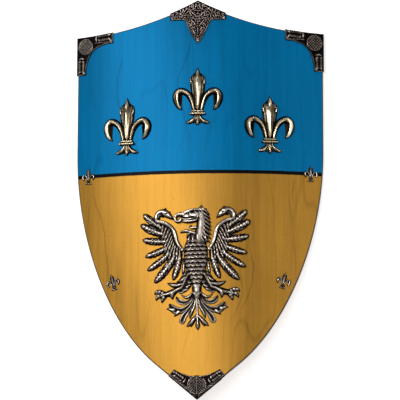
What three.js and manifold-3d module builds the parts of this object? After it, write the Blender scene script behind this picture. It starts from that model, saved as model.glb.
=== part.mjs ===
// A bowed wooden heater shield with cast metal corner mounts, fleurs-de-lis and an eagle, in millimetres.
// It lies face up on the back edges of its straight sides, its middle line along Y with the peak at +Y.
// On the face a place is given by u, the way across measured along the bow, and v, the height up the
// face from the middle of the painted stripe. A relief is modelled flat in u and v, then bent to the face.

import * as THREE from "three";
import { mergeVertices } from "three/addons/utils/BufferGeometryUtils.js";
import Module from "manifold-3d";

// Board
const boardWidth = 380.6;
const boardThickness = 9;
const bowRadius = 488;
const bowFacetsEachSide = 6;
const cornerHeight = 220;
const peakRise = 47.3;
const straightSide = 184.8;
const tipDepth = 346.85;
const tipStraight = 83.1;
const tipHalfAngle = 50.25;
const lowerPullShare = 0.263;
const upperPullShare = 0.384;
const restWidth = 4;

// Fit between a piece and what carries it
const fitGap = 0.3;

// Corner mounts
const mountThickness = 1.4;
const lipThickness = 1;
const lipShort = 3;
const lipAboveRest = 0.8;
const rimHalfWidth = 1;
const rimHeight = 0.9;
const mouldingHeight = 1.3;
const topArmLength = 60.4;
const topArmWidth = 16;
const sideArmLength = 59;
const sideArmWidth = 14.4;
// the inner edge's arc, in shares of the way across to the top arm's end and down to the side arm's end
const cornerArc = [[0.86, 0], [0.32, 0.06], [0.09, 0.24], [0, 0.86]];
const cornerMedallionRadius = 12.6;
const medallionMargin = 1.4;
const medallionHeight = 0.7;
const medallionRingHalfWidth = 0.8;
const medallionCrossHalfWidth = 0.6;

// Peak mount
const peakArmLength = 43;
const peakArmDrop = 29.5;
const peakLeafHalfWidth = 21.6;
const peakLeafDrop = 67.3;

// Tip mount
const tipArmLength = 55;
const tipArmWidth = 12;
const tipMedallionRadius = 14.6;
const tipMedallionRise = 20.2;
const tipWebRise = 33.4;

// Nails
const nailHeadRadius = 1.9;
const nailHeadHeight = 1.2;
const nailShankRadius = 0.7;
const nailPointLength = 2;
const nailCover = 2.5;
const nailInset = 3.2;

// Ornaments on the face
const largeFleurHeight = 89.5;
const sideFleurInset = 85;
const sideFleurFoot = 29.3;
const middleFleurFoot = 72.6;
const smallFleurHeight = 26;
const stripeFleurInset = 19;
const lowFleurInset = 63.7;
const lowFleurDrop = 167;
const lowFleurAngle = 14.5;
const eagleHeight = 189;
const eagleDrop = 120;
const eagleLeftwards = 2.2;
const eagleAngle = 1.7;

const degrees = Math.PI / 180;
const weldDistance = 1e-4;
const onLine = 1e-3;
const reliefRoot = 2;

const wasm = await Module();
wasm.setup();

// Closed meshes as solids and back

function welded(geometry) {
  const bare = geometry.clone();
  bare.deleteAttribute("normal");
  bare.deleteAttribute("uv");
  return mergeVertices(bare, weldDistance);
}

function solidOf(geometry) {
  const merged = welded(geometry);
  const corners = [];
  for (let i = 0; i < merged.index.count; i += 3) {
    const [a, b, c] = [0, 1, 2].map((k) => merged.index.getX(i + k));
    if (a !== b && b !== c && c !== a) corners.push(a, b, c);
  }
  return new wasm.Manifold(new wasm.Mesh({
    numProp: 3,
    vertProperties: new Float32Array(merged.attributes.position.array),
    triVerts: new Uint32Array(corners),
  }));
}

function geometryOf(solid) {
  const mesh = solid.getMesh();
  const geometry = new THREE.BufferGeometry();
  geometry.setAttribute("position", new THREE.BufferAttribute(mesh.vertProperties, 3));
  geometry.setIndex(new THREE.BufferAttribute(mesh.triVerts, 1));
  return geometry;
}

function joined(geometries) {
  return geometries.map(solidOf).reduce((whole, next) => whole.add(next));
}

// The bow of the face

const halfWidth = boardWidth / 2;
const bowReach = halfWidth + 2 * (lipThickness + fitGap);
const bowAngle = Math.asin(bowReach / (bowRadius - boardThickness));
const facetCount = 2 * bowFacetsEachSide + 1;
const facetAngles = Array.from({ length: facetCount + 1 }, (_, k) => bowAngle * ((2 * k) / facetCount - 1));
const faceHalf = bowRadius * Math.asin(halfWidth / bowRadius);

function onFace(u, v, height) {
  const angle = u / bowRadius;
  const radius = bowRadius + height;
  return new THREE.Vector3(radius * Math.sin(angle), v, radius * Math.cos(angle) - bowRadius);
}

function faceX(u) {
  return bowRadius * Math.sin(u / bowRadius);
}

// Cuts the triangles of a flat plate at the facet lines of the bow.
function cutAtFacets(geometry) {
  const points = [];
  for (let i = 0; i < geometry.attributes.position.count; i += 1) {
    points.push(new THREE.Vector3().fromBufferAttribute(geometry.attributes.position, i));
  }
  let faces = [];
  for (let i = 0; i < geometry.index.count; i += 3) {
    faces.push([0, 1, 2].map((k) => geometry.index.getX(i + k)));
  }
  for (const angle of facetAngles) {
    const line = angle * bowRadius;
    const made = new Map();
    const side = (i) => (Math.abs(points[i].x - line) < onLine ? 0 : Math.sign(points[i].x - line));
    const crossing = (i, j) => {
      const [low, high] = i < j ? [i, j] : [j, i];
      const key = `${low} ${high}`;
      if (!made.has(key)) {
        const share = (line - points[low].x) / (points[high].x - points[low].x);
        points.push(points[low].clone().lerp(points[high], share));
        made.set(key, points.length - 1);
      }
      return made.get(key);
    };
    faces = faces.flatMap((face) => splitFace(face, side, crossing));
  }
  const cut = new THREE.BufferGeometry().setFromPoints(points);
  cut.setIndex(faces.flat());
  return cut;
}

// Turns a triangle's corners until the one that stands alone comes first, then cuts it off.
function splitFace(face, side, crossing) {
  const sides = face.map(side);
  if (!sides.includes(1) || !sides.includes(-1)) return [face];
  const alone = sides.findIndex((s) => sides.filter((t) => t === s).length === 1);
  const first = sides.includes(0) ? sides.indexOf(0) : alone;
  const [a, b, c] = [0, 1, 2].map((k) => face[(first + k) % 3]);
  if (sides.includes(0)) {
    const middle = crossing(b, c);
    return [[a, b, middle], [a, middle, c]];
  }
  const nearB = crossing(a, b);
  const nearC = crossing(a, c);
  return [[a, nearB, nearC], [nearB, b, c], [nearB, c, nearC]];
}

function bentToFace(geometry) {
  const places = geometry.attributes.position;
  for (let i = 0; i < places.count; i += 1) {
    const place = onFace(places.getX(i), places.getY(i), places.getZ(i));
    places.setXYZ(i, place.x, place.y, place.z);
  }
  return geometry;
}

// Outline of the board, seen from the front

const arcRadius = (halfWidth ** 2 + peakRise ** 2) / (2 * peakRise);

function topEdge(x) {
  return cornerHeight + arcRadius - Math.sqrt(arcRadius ** 2 - (halfWidth - Math.abs(x)) ** 2);
}

function boardOutline() {
  const arcEnd = Math.atan2(peakRise - arcRadius, -halfWidth);
  const sideEnd = new THREE.Vector2(halfWidth, cornerHeight - straightSide);
  const alongTip = new THREE.Vector2(Math.sin(tipHalfAngle * degrees), Math.cos(tipHalfAngle * degrees));
  const curveEnd = alongTip.clone().multiplyScalar(tipStraight).add(new THREE.Vector2(0, -tipDepth));
  const sweep = sideEnd.distanceTo(curveEnd);
  const upperPull = new THREE.Vector2(halfWidth, sideEnd.y - upperPullShare * sweep);
  const lowerPull = curveEnd.clone().addScaledVector(alongTip, lowerPullShare * sweep);
  const right = new THREE.Path();
  right.moveTo(0, -tipDepth);
  right.lineTo(curveEnd.x, curveEnd.y);
  right.bezierCurveTo(lowerPull.x, lowerPull.y, upperPull.x, upperPull.y, sideEnd.x, sideEnd.y);
  right.lineTo(halfWidth, cornerHeight);
  right.absarc(halfWidth, cornerHeight + arcRadius, arcRadius, -Math.PI / 2, arcEnd, true);
  const points = right.getPoints(10);
  const left = points.slice(1, -1).reverse().map((p) => new THREE.Vector2(-p.x, p.y));
  return [...points, ...left];
}

// Moves each point of an anticlockwise outline out by a distance from both its neighbouring sides.
function grown(outline, distance) {
  return outline.map((point, i) => {
    const before = point.clone().sub(outline.at(i - 1)).normalize();
    const after = outline[(i + 1) % outline.length].clone().sub(point).normalize();
    const outwards = new THREE.Vector2(before.y + after.y, -before.x - after.x).normalize();
    const share = outwards.x * before.y - outwards.y * before.x;
    return point.clone().addScaledVector(outwards, distance / share);
  });
}

function prism(outline) {
  const depth = 2 * bowRadius;
  const geometry = new THREE.ExtrudeGeometry(new THREE.Shape(outline), { depth, bevelEnabled: false });
  return solidOf(geometry.translate(0, 0, -depth / 2));
}

// A sheet with the bow's facets, from a height above the face to a depth below it.
function bowedSheet(above, below) {
  const front = facetAngles.map((a) => new THREE.Vector2(
    (bowRadius + above) * Math.sin(a), (bowRadius + above) * Math.cos(a) - bowRadius));
  const back = facetAngles.map((a) => new THREE.Vector2(
    (bowRadius - below) * Math.sin(a), (bowRadius - below) * Math.cos(a) - bowRadius));
  const length = 4 * (tipDepth + cornerHeight);
  const section = new THREE.Shape([...front, ...back.reverse()]);
  const sheet = new THREE.ExtrudeGeometry(section, { depth: length, bevelEnabled: false });
  return solidOf(sheet.translate(0, 0, -length / 2).rotateX(Math.PI / 2));
}

function below(level) {
  const size = 4 * (tipDepth + cornerHeight);
  return solidOf(new THREE.BoxGeometry(size, size, size).translate(0, 0, level - size / 2));
}

const outline = boardOutline();
const restLevel = Math.sqrt((bowRadius - boardThickness) ** 2 - (halfWidth - restWidth) ** 2) - bowRadius;
const plainBoard = prism(outline).intersect(bowedSheet(0, boardThickness)).subtract(below(restLevel));
const boardAndGap = prism(grown(outline, fitGap)).intersect(bowedSheet(fitGap, boardThickness + fitGap));
const reliefBed = bowedSheet(fitGap, 3 * boardThickness);

// Parts of a relief, modelled flat

// Corners of a bar's section: the share of its half width, and the share of its height or -1 for its root.
const roofSection = [[0, 1], [1, -1], [-1, -1]];
const ridgeSection = [[0, 1], [1, 0.35], [1, -1], [-1, -1], [-1, 0.35]];
const roundSection = [[0, 1], [0.8, 0.7], [1, -1], [-1, -1], [-0.8, 0.7]];

// A bar that follows stations on the flat. Each is its place, half width and height.
// A roof section spreads below the face, so that it has its half width where it meets the face.
function bar(stations, section = roofSection) {
  const spine = new THREE.SplineCurve(stations.map(([x, y]) => new THREE.Vector2(x, y)));
  const geometry = new THREE.CylinderGeometry(1, 1, 1, section.length, stations.length - 1);
  const places = geometry.attributes.position;
  for (let i = 0; i < places.count; i += 1) {
    const t = 0.5 - places.getY(i);
    const at = Math.min(t * (stations.length - 1), stations.length - 1 - 1e-9);
    const from = stations[Math.floor(at)];
    const to = stations[Math.floor(at) + 1];
    const height = THREE.MathUtils.lerp(from[3], to[3], at % 1);
    const spread = section === roofSection ? (height + reliefRoot) / height : 1;
    const halfSpan = THREE.MathUtils.lerp(from[2], to[2], at % 1) * spread;
    const centre = spine.getPoint(t);
    const tangent = spine.getTangent(t);
    const turn = Math.atan2(places.getX(i), places.getZ(i)) / (2 * Math.PI);
    const middle = Math.hypot(places.getX(i), places.getZ(i)) < 0.5;
    const corner = Math.round((turn + 1) * section.length) % section.length;
    const [across, up] = middle ? [0, 0] : section[corner];
    const z = up < 0 ? -reliefRoot : up * height;
    places.setXYZ(i, centre.x - tangent.y * across * halfSpan, centre.y + tangent.x * across * halfSpan, z);
  }
  return geometry;
}

function slab(shape, height) {
  const depth = height + reliefRoot;
  const geometry = new THREE.ExtrudeGeometry(shape, { depth, bevelEnabled: false });
  return geometry.translate(0, 0, -reliefRoot);
}

// Scales stations that are given in hundredths of a figure's height, on one side of its middle line.
function sized(stations, figureHeight, side = 1) {
  const unit = figureHeight / 100;
  return stations.map(([x, y, halfSpan, height]) => (
    [side * x * unit, y * unit, halfSpan * unit, height * unit]));
}

const bothSides = [-1, 1];

// Fleur-de-lis, from the tip of its foot

function fleurParts(height, section) {
  const make = (stations, side = 1, shape = section) => bar(sized(stations, height, side), shape);
  const parts = [
    make([[0, 24, 4, 4], [0, 42, 7, 7], [0, 58, 11.5, 8], [0, 72, 14, 8], [0, 82.5, 11.2, 6.5]]),
    make([[0, 74, 9, 7.2], [0, 83.5, 7, 7.2], [0, 93, 3.6, 5.6], [0, 100, 0.5, 2.5]]),
    make([[-9.6, 23.4, 2.4, 7], [9.6, 23.4, 2.4, 7]], 1, roofSection),
    make([[-11.8, 19.4, 2.6, 8], [11.8, 19.4, 2.6, 8]], 1, roofSection),
    make([[0, 21, 2, 5], [0, 9, 3.4, 6], [0, 3.5, 4.2, 6], [0, 0.2, 2.4, 3.5]], 1, roofSection),
  ];
  for (const side of bothSides) {
    parts.push(
      make([[5.5, 20, 3, 4], [8.6, 39, 4.4, 6.5], [14, 51.5, 5.4, 7.5], [21.5, 58, 6, 8], [28, 59.5, 6, 7]],
        side, roofSection),
      make([
        [24.6, 62.5, 3.4, 5], [31, 57.5, 7.4, 8], [34, 48.5, 9, 8.5], [32.4, 37, 6.2, 7.5], [29.3, 27, 0.8, 3]],
        side),
      make([[3, 21, 2.6, 5], [5.8, 11, 3, 5.5], [11.5, 6, 3.4, 5.5], [19, 3.4, 1.6, 3.5]], side, roofSection),
    );
  }
  return parts;
}

// The small ones are the same flower with fewer faces.
function smallFleurParts(height) {
  const make = (stations, side = 1) => bar(sized(stations, height, side));
  const parts = [
    make([[0, 10, 6, 5], [0, 40, 11, 7], [0, 70, 14, 8], [0, 84, 8, 7], [0, 100, 0.5, 2.5]]),
    make([[-11.8, 21, 4, 8], [11.8, 21, 4, 8]]),
    make([[0, 20, 4.4, 6], [0, 6, 6.4, 6], [0, 0.2, 3, 3.5]]),
  ];
  for (const side of bothSides) {
    parts.push(
      make([[5.5, 20, 3, 4], [12, 49, 5.4, 7.5], [28, 59.5, 6, 7]], side),
      make([[24.6, 62.5, 3.4, 5], [34.5, 48.5, 10, 8.5], [29.3, 27, 0.8, 3]], side),
      make([[3, 21, 2.6, 5], [8, 8, 3, 5.5], [19, 3.4, 1.6, 3.5]], side),
    );
  }
  return parts;
}

// Displayed eagle, from the line of its shoulders

const wingBone = [[30.5, 25], [23, 23.2], [17.9, 19.1], [15.6, 14.3], [13.8, 8.9], [11.8, 3.1], [9.5, -1.5]];
const featherRoots = [
  [29, 21], [27.5, 13.5], [26, 6.5], [25, 0.5], [23, -4.5], [18, -7], [12.5, -6.5], [9, -12]];
const featherTips = [
  [41.5, 30.3], [44, 21.5], [42.6, 8.9], [41.3, -3.9], [39.6, -15.4], [34, -25.6], [18.6, -24.4], [10.7, -19]];

function wingParts(side) {
  const make = (stations) => bar(sized(stations, eagleHeight, side));
  const boneStations = wingBone.map(([x, y], i) => [x, y, 1.9 - 0.06 * i, 3.2]);
  const web = [...wingBone, ...featherRoots.toReversed()].map(([x, y]) => (
    new THREE.Vector2(side * x, y).multiplyScalar(eagleHeight / 100)));
  const parts = [
    slab(new THREE.Shape(web), 0.014 * eagleHeight),
    make(boneStations),
    make([[30.2, 24, 1.6, 2.6], [30.4, 28.4, 1.5, 3], [28, 31.8, 1.7, 3.2], [23.6, 31.4, 2.6, 3.6],
      [20.6, 28.4, 1.7, 3], [17.9, 25.2, 0.4, 1.2]]),
    make([[24.6, 31.5, 1.2, 3], [23.4, 34, 0.4, 1.4]]),
  ];
  featherTips.forEach(([tipX, tipY], i) => {
    const [rootX, rootY] = featherRoots[i];
    const along = (share) => [rootX + (tipX - rootX) * share, rootY + (tipY - rootY) * share];
    const small = i === featherTips.length - 1 ? 0.6 : 1;
    parts.push(make([
      [...along(-0.3), 2.2 * small, 1.8],
      [...along(0.6), 3 * small, 2.3],
      [...along(1), 0.7 * small, 0.9],
    ]));
  });
  for (let i = 0; i < featherRoots.length; i += 2) {
    const [rootX, rootY] = featherRoots[i];
    const [boneX, boneY] = wingBone[Math.min(i, wingBone.length - 2)];
    parts.push(make([
      [boneX, boneY, 1.8, 2.2],
      [rootX + (boneX - rootX) * 0.3, rootY + (boneY - rootY) * 0.3, 3.4, 3],
      [rootX + (rootX - boneX) * 0.15, rootY + (rootY - boneY) * 0.15, 1, 1.6],
    ]));
  }
  return parts;
}

function legParts(side) {
  const make = (stations) => bar(sized(stations, eagleHeight, side));
  const toes = [[[26, -36.6], [30.5, -34.6], [33.3, -33.4]], [[26, -37.4], [30.5, -38.4], [33, -39.6]],
    [[25.5, -38], [27.2, -40.8], [27.6, -42.6]], [[23, -35.4], [20.8, -37.6], [19.4, -39.6]]];
  return [
    make([[5.5, -20.5, 2.8, 2.6], [9, -27.5, 4, 3.6], [12.8, -31.6, 2.2, 2.6]]),
    make([[11.5, -29.5, 1.8, 2.4], [17, -29.2, 1.7, 2.2], [22.9, -27.3, 0.4, 1]]),
    make([[12.8, -31.2, 1.7, 2.4], [18.5, -33.6, 1.5, 2.4], [28, -37, 2.4, 2.8]]),
    ...toes.map(([root, knuckle, claw]) => make([
      [...root, 1.4, 2.4], [...knuckle, 1.2, 2.4], [...claw, 0.4, 1]])),
  ];
}

function tailParts(side) {
  const make = (stations) => bar(sized(stations, eagleHeight, side));
  return [
    make([[1.2, -37.5, 1.1, 2], [6.2, -45, 1.6, 2.6], [12.8, -50.3, 2.2, 2.8], [18.6, -49.6, 2.3, 2.8],
      [22.2, -44.2, 0.6, 1.2]]),
    make([[18.6, -49.6, 1.6, 2.2], [24.2, -47.6, 0.4, 1]]),
    make([[13.6, -50, 1.4, 2.2], [17.8, -53.8, 0.4, 1]]),
    make([[2, -38.5, 1, 1.8], [7.4, -44, 1.2, 2.2], [12.4, -43.4, 1.6, 2.4], [16.4, -39.2, 0.4, 1]]),
    make([[1, -41, 1, 1.8], [4.8, -48, 1.4, 2.4], [9, -54, 1.9, 2.8], [11.6, -58.4, 1.6, 2.2]]),
    make([[0.6, -47, 0.9, 1.8], [3.4, -51.6, 1.2, 2.2], [4.4, -56, 0.4, 1]]),
    make([[0, -53.5, 1.2, 2], [4.8, -58, 1.8, 2.4], [8.5, -62, 0.5, 1.2]]),
  ];
}

// The breast narrows to the tail in rows of scales, each row standing a little out of the one below.
function bodyParts() {
  const rows = 8;
  const top = 8.4;
  const bottom = -37.5;
  const depthShare = 0.55;
  const girth = new THREE.SplineCurve([[6.6, top], [10, 1.4], [9.8, -6], [8.2, -17.2], [5.7, -24.5],
    [4.3, -31.7], [3.7, bottom]].map(([x, y]) => new THREE.Vector2(x, y)));
  const profile = [new THREE.Vector2(0, bottom)];
  for (let row = rows; row > 0; row -= 1) {
    const low = girth.getPoint(row / rows);
    const high = girth.getPoint((row - 1) / rows);
    profile.push(new THREE.Vector2(low.x, low.y));
    profile.push(new THREE.Vector2(high.x * 0.9, high.y));
  }
  profile.push(new THREE.Vector2(0, top));
  const body = new THREE.LatheGeometry(profile, 10);
  const unit = eagleHeight / 100;
  return [body.scale(unit, unit, depthShare * unit)];
}

function headParts() {
  const make = (stations, section) => bar(sized(stations, eagleHeight), section);
  const parts = [
    make([[0.5, 3, 8, 4.6], [3.5, 9.5, 7.2, 4.6], [6, 16, 5.8, 4.4], [5.6, 23, 6, 4.6], [2.6, 28.5, 6, 4.6]],
      roundSection),
    make([[4.5, 28.2, 5.2, 4.4], [-3, 28.8, 4.9, 4.2], [-8.5, 29.2, 2.9, 3.4]], roundSection),
    make([[-6, 29.6, 3, 3.4], [-11.5, 30.3, 2.2, 3], [-15.4, 27.8, 1.7, 2.6], [-16, 24.4, 1.3, 2.2],
      [-13.9, 22.9, 0.9, 1.8], [-12.7, 24.6, 0.4, 1.2]]),
    make([[0, 22.6, 2, 3], [-6, 22, 1.6, 2.6], [-11.8, 23.4, 0.6, 1.2]]),
    make([[3.6, 31.5, 1.6, 3.4], [5.6, 34.9, 0.4, 1.4]]),
    make([[-6.4, 5, 1.6, 2.6], [-4.4, 10, 1.5, 2.6], [-6.2, 13.8, 1.4, 2.4], [-9.4, 15.3, 1.2, 2],
      [-12.7, 13.8, 0.4, 1]]),
    make([[-5.6, 13.2, 1, 2], [-3, 18.2, 0.5, 1.4]]),
  ];
  const spikes = 6;
  for (let i = 0; i < spikes; i += 1) {
    const share = i / (spikes - 1);
    const x = 8.4 + 1.6 * Math.sin(Math.PI * share);
    const y = 31 - 21 * share;
    parts.push(make([[x - 2, y + 1.6, 1.8, 3.6], [x + 2.4, y - 2.2, 0.4, 1.2]]));
  }
  return parts;
}

function eagleParts() {
  const stem = [
    [0, -35, 3.4, 3.4], [0, -44, 2.2, 3], [0, -55, 1.5, 2.8], [0, -61.5, 1.5, 2.4], [0, -65.1, 0.4, 1]];
  return [
    ...bodyParts(),
    ...headParts(),
    bar(sized(stem, eagleHeight)),
    ...bothSides.flatMap((side) => [...wingParts(side), ...legParts(side), ...tailParts(side)]),
  ];
}

// Puts a flat figure on the face and cuts its underside to the board.
function onBoard(parts, u, v, turn) {
  const bent = parts.map((part) => bentToFace(part.rotateZ(turn * degrees).translate(u, v, 0)));
  return joined(bent).subtract(reliefBed);
}

// Nails. Each is a round head and a shank through its mount into the board.

const plateTop = fitGap + mountThickness;
const nailSeat = plateTop + fitGap;
const shankEnd = nailCover - boardThickness;

function stoodOnFace(geometry, u, v) {
  const foot = onFace(u, v, 0);
  return geometry.rotateX(Math.PI / 2).rotateY(u / bowRadius).translate(foot.x, foot.y, foot.z);
}

function nail([u, v]) {
  const dome = new THREE.Path();
  dome.moveTo(0, shankEnd);
  dome.lineTo(nailShankRadius, shankEnd + nailPointLength);
  dome.lineTo(nailShankRadius, nailSeat);
  dome.lineTo(nailHeadRadius, nailSeat);
  dome.quadraticCurveTo(nailHeadRadius, nailSeat + nailHeadHeight, 0, nailSeat + nailHeadHeight);
  return solidOf(stoodOnFace(new THREE.LatheGeometry(dome.getPoints(2), 6), u, v));
}

function nailHole([u, v]) {
  const shaft = nailShankRadius + fitGap;
  const head = nailHeadRadius + fitGap;
  const top = plateTop + 2 * nailHeadHeight + mouldingHeight;
  const profile = [[0, shankEnd - fitGap], [shaft, shankEnd - fitGap], [shaft, plateTop], [head, plateTop],
    [head, top], [0, top]];
  const points = profile.map(([x, y]) => new THREE.Vector2(x, y));
  return solidOf(stoodOnFace(new THREE.LatheGeometry(points, 6), u, v));
}

// Corner mounts. Each is a plate on the face with a lip over the board's edge.

const lipOutline = grown(outline, fitGap + lipThickness);
const mountSpace = prism(lipOutline)
  .intersect(bowedSheet(4 * mouldingHeight + plateTop, boardThickness - lipShort));

function mountSolid(parts, nails) {
  const whole = joined(parts.map(bentToFace)).intersect(mountSpace).subtract(boardAndGap);
  const trimmed = whole.subtract(below(restLevel + lipAboveRest));
  return nails.reduce((mount, at) => mount.subtract(nailHole(at)), trimmed);
}

function plate(shape) {
  const depth = plateTop + boardThickness;
  const geometry = new THREE.ExtrudeGeometry(shape, { depth, bevelEnabled: false });
  return cutAtFacets(welded(geometry.translate(0, 0, -boardThickness)));
}

// A raised rim that stops short of the plate's ends by its own half width.
function rimAlong(points) {
  const ends = [[points[0], points[1]], [points.at(-1), points.at(-2)]].map(([end, next]) => {
    const from = new THREE.Vector2(...end);
    const inwards = new THREE.Vector2(...next).sub(from).setLength(rimHalfWidth);
    return from.add(inwards).toArray();
  });
  const path = [ends[0], ...points.slice(1, -1), ends[1]];
  return bar(path.map(([x, y]) => [x, y, rimHalfWidth, plateTop + rimHeight]));
}

function medallionParts(u, v, radius, turn) {
  const top = plateTop + medallionHeight;
  const crossTop = top + medallionHeight;
  const inner = radius - 2 * medallionRingHalfWidth;
  const profile = [[0, -reliefRoot], [radius, -reliefRoot], [radius, top],
    [radius - medallionRingHalfWidth, crossTop], [inner, top], [0, top]];
  const disc = new THREE.LatheGeometry(profile.map(([x, y]) => new THREE.Vector2(x, y)), 12);
  const crossLength = 2 * radius - 3 * medallionRingHalfWidth;
  const crossHeight = crossTop - 0.3 * medallionHeight + reliefRoot;
  const cross = new THREE.BoxGeometry(crossLength, 2 * medallionCrossHalfWidth, crossHeight);
  cross.translate(0, 0, crossHeight / 2 - reliefRoot);
  const bars = [0, 90].map((angle) => cross.clone().rotateZ((turn + angle) * degrees));
  return [disc.rotateX(Math.PI / 2), ...bars].map((part) => part.translate(u, v, 0));
}

function leafBar(from, to, halfSpan) {
  const at = (share) => [from[0] + (to[0] - from[0]) * share, from[1] + (to[1] - from[1]) * share];
  const crest = plateTop + mouldingHeight;
  const foot = plateTop - 0.3 * mouldingHeight;
  return bar([[...at(0), 0.4, foot], [...at(0.3), halfSpan, crest], [...at(0.75), halfSpan * 0.8, crest],
    [...at(1), 0.4, foot]]);
}

const overhang = 2 * (lipThickness + fitGap);

const cornerMount = {
  armEndU: faceHalf - topArmLength,
  armInnerV: topEdge(faceX(faceHalf - topArmLength)) - topArmWidth,
  sideEndV: cornerHeight - sideArmLength,
  sideInnerU: faceHalf - sideArmWidth,
};
const cornerMedallion = [
  faceHalf - medallionMargin - cornerMedallionRadius, cornerHeight - medallionMargin - cornerMedallionRadius];

function cornerNails(side) {
  return [
    [side * (cornerMount.armEndU + nailInset), cornerMount.armInnerV + nailInset + rimHalfWidth],
    [side * (cornerMount.sideInnerU + nailInset), cornerMount.sideEndV + nailInset],
  ];
}

function cornerMountParts(side) {
  const { armEndU, armInnerV, sideEndV, sideInnerU } = cornerMount;
  const inner = new THREE.CubicBezierCurve(...cornerArc.map(([across, down]) => new THREE.Vector2(
    side * (sideInnerU - across * (sideInnerU - armEndU)),
    armInnerV - down * (armInnerV - sideEndV))));
  const innerEdge = [[side * armEndU, armInnerV], ...inner.getPoints(5).map((p) => [p.x, p.y]),
    [side * sideInnerU, sideEndV]];
  const shape = new THREE.Shape([
    ...innerEdge.map(([x, y]) => new THREE.Vector2(x, y)),
    new THREE.Vector2(side * (faceHalf + overhang), sideEndV),
    new THREE.Vector2(side * (faceHalf + overhang), cornerHeight + peakRise),
    new THREE.Vector2(side * armEndU, cornerHeight + peakRise)]);
  const armMiddle = armInnerV + 0.5 * topArmWidth;
  const sideMiddle = sideInnerU + 0.5 * sideArmWidth;
  const [medallionU, medallionV] = cornerMedallion;
  const armRoot = medallionU - cornerMedallionRadius;
  const sideRoot = medallionV - cornerMedallionRadius;
  const leaf = topArmWidth * 0.14;
  return [
    plate(shape),
    rimAlong(innerEdge.map(([x, y], i, all) => [
      x + side * rimHalfWidth * (i / (all.length - 1)), y + rimHalfWidth * (1 - i / (all.length - 1))])),
    ...medallionParts(side * medallionU, medallionV, cornerMedallionRadius, 45),
    leafBar([side * armRoot, armMiddle + leaf], [side * (armEndU + nailInset), armMiddle + leaf], leaf),
    leafBar([side * armRoot, armMiddle - leaf], [side * (armEndU + nailInset), armMiddle - leaf], leaf),
    leafBar([side * sideMiddle, sideRoot], [side * sideMiddle, sideEndV + nailInset], leaf),
  ];
}

const peakHeight = cornerHeight + peakRise;
const peakPointV = peakHeight - peakLeafDrop;
const peakArmV = peakHeight - peakArmDrop;
const peakNails = [
  [-peakArmLength + nailInset, peakArmV + nailInset], [peakArmLength - nailInset, peakArmV + nailInset],
  [0, peakPointV + 1.6 * nailInset]];

// A place on the peak mount, by its share of the leaf's half width and of its length up from the point.
function onLeaf(side, across, up) {
  return [side * across * peakLeafHalfWidth, peakPointV + up * peakLeafDrop];
}

function peakMountParts() {
  const edgePlace = (side, across, up) => new THREE.Vector2(...onLeaf(side, across, up));
  const armUp = 1 - peakArmDrop / peakLeafDrop;
  const leafEdge = (side) => new THREE.CubicBezierCurve(
    edgePlace(side, 1, armUp),
    edgePlace(side, 0.72, armUp - 0.06),
    edgePlace(side, 0.7, 0.27),
    edgePlace(side, 0, 0)).getPoints(5);
  const topV = peakHeight + overhang;
  const corners = [[-peakArmLength, peakArmV], [-peakArmLength, topV], [peakArmLength, topV],
    [peakArmLength, peakArmV]].map(([x, y]) => new THREE.Vector2(x, y));
  const shape = new THREE.Shape([...corners, ...leafEdge(1), ...leafEdge(-1).reverse().slice(1)]);
  const leaf = 0.12 * peakLeafHalfWidth;
  const parts = [plate(shape)];
  for (const side of bothSides) {
    const edge = [[side * peakArmLength, peakArmV], ...leafEdge(side).map((p) => [p.x, p.y])];
    const armEnd = [side * (peakArmLength - nailInset), peakArmV + 0.17 * peakArmDrop];
    parts.push(rimAlong(edge.map(([x, y]) => [x * 0.96, y + rimHalfWidth * 1.3])));
    parts.push(leafBar(onLeaf(side, 0.65, 0.68), armEnd, leaf));
    parts.push(leafBar(onLeaf(side, 0.1, 0.15), onLeaf(side, 0.5, 0.47), leaf));
    parts.push(leafBar(onLeaf(side, 0.1, 0.42), onLeaf(side, 0.7, 0.74), leaf));
    parts.push(leafBar(onLeaf(side, 0.1, 0.69), onLeaf(side, 0.55, 0.82), 0.8 * leaf));
  }
  parts.push(leafBar(onLeaf(1, 0, 0.18), onLeaf(1, 0, 0.96), 1.25 * leaf));
  return parts;
}

const tipUp = [Math.sin(tipHalfAngle * degrees), Math.cos(tipHalfAngle * degrees)];

// A place on the tip mount, by its way up the board's edge from the point and its way in from the edge.
function besideTip(side, up, inwards) {
  return [side * (tipUp[0] * up - tipUp[1] * inwards), tipUp[1] * up + tipUp[0] * inwards - tipDepth];
}

const tipNails = bothSides.map((side) => besideTip(side, tipArmLength - nailInset, tipArmWidth - nailInset));

function tipMountParts() {
  const innerCorner = besideTip(1, tipArmLength, tipArmWidth);
  const outerCorner = besideTip(1, tipArmLength, -overhang);
  const webV = tipWebRise - tipDepth;
  const web = new THREE.QuadraticBezierCurve(
    new THREE.Vector2(innerCorner[0], innerCorner[1]),
    new THREE.Vector2(0, 2 * webV - innerCorner[1]),
    new THREE.Vector2(-innerCorner[0], innerCorner[1])).getPoints(8);
  const shape = new THREE.Shape([
    new THREE.Vector2(0, -tipDepth - 2 * overhang), new THREE.Vector2(...outerCorner), ...web,
    new THREE.Vector2(-outerCorner[0], outerCorner[1])]);
  const medallionV = tipMedallionRise - tipDepth;
  const leaf = tipArmWidth * 0.17;
  const parts = [
    plate(shape),
    rimAlong(web.map((p) => [p.x * 0.98, p.y - rimHalfWidth])),
    ...medallionParts(0, medallionV, tipMedallionRadius, 0),
  ];
  for (const side of bothSides) {
    const start = tipMedallionRise * 0.7 + tipMedallionRadius;
    parts.push(leafBar(besideTip(side, start, 0.32 * tipArmWidth),
      besideTip(side, tipArmLength - nailInset, 0.32 * tipArmWidth), leaf));
    parts.push(leafBar(besideTip(side, start, 0.7 * tipArmWidth),
      besideTip(side, tipArmLength - 2 * nailInset, 0.7 * tipArmWidth), leaf));
  }
  return parts;
}

// The whole shield

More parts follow.
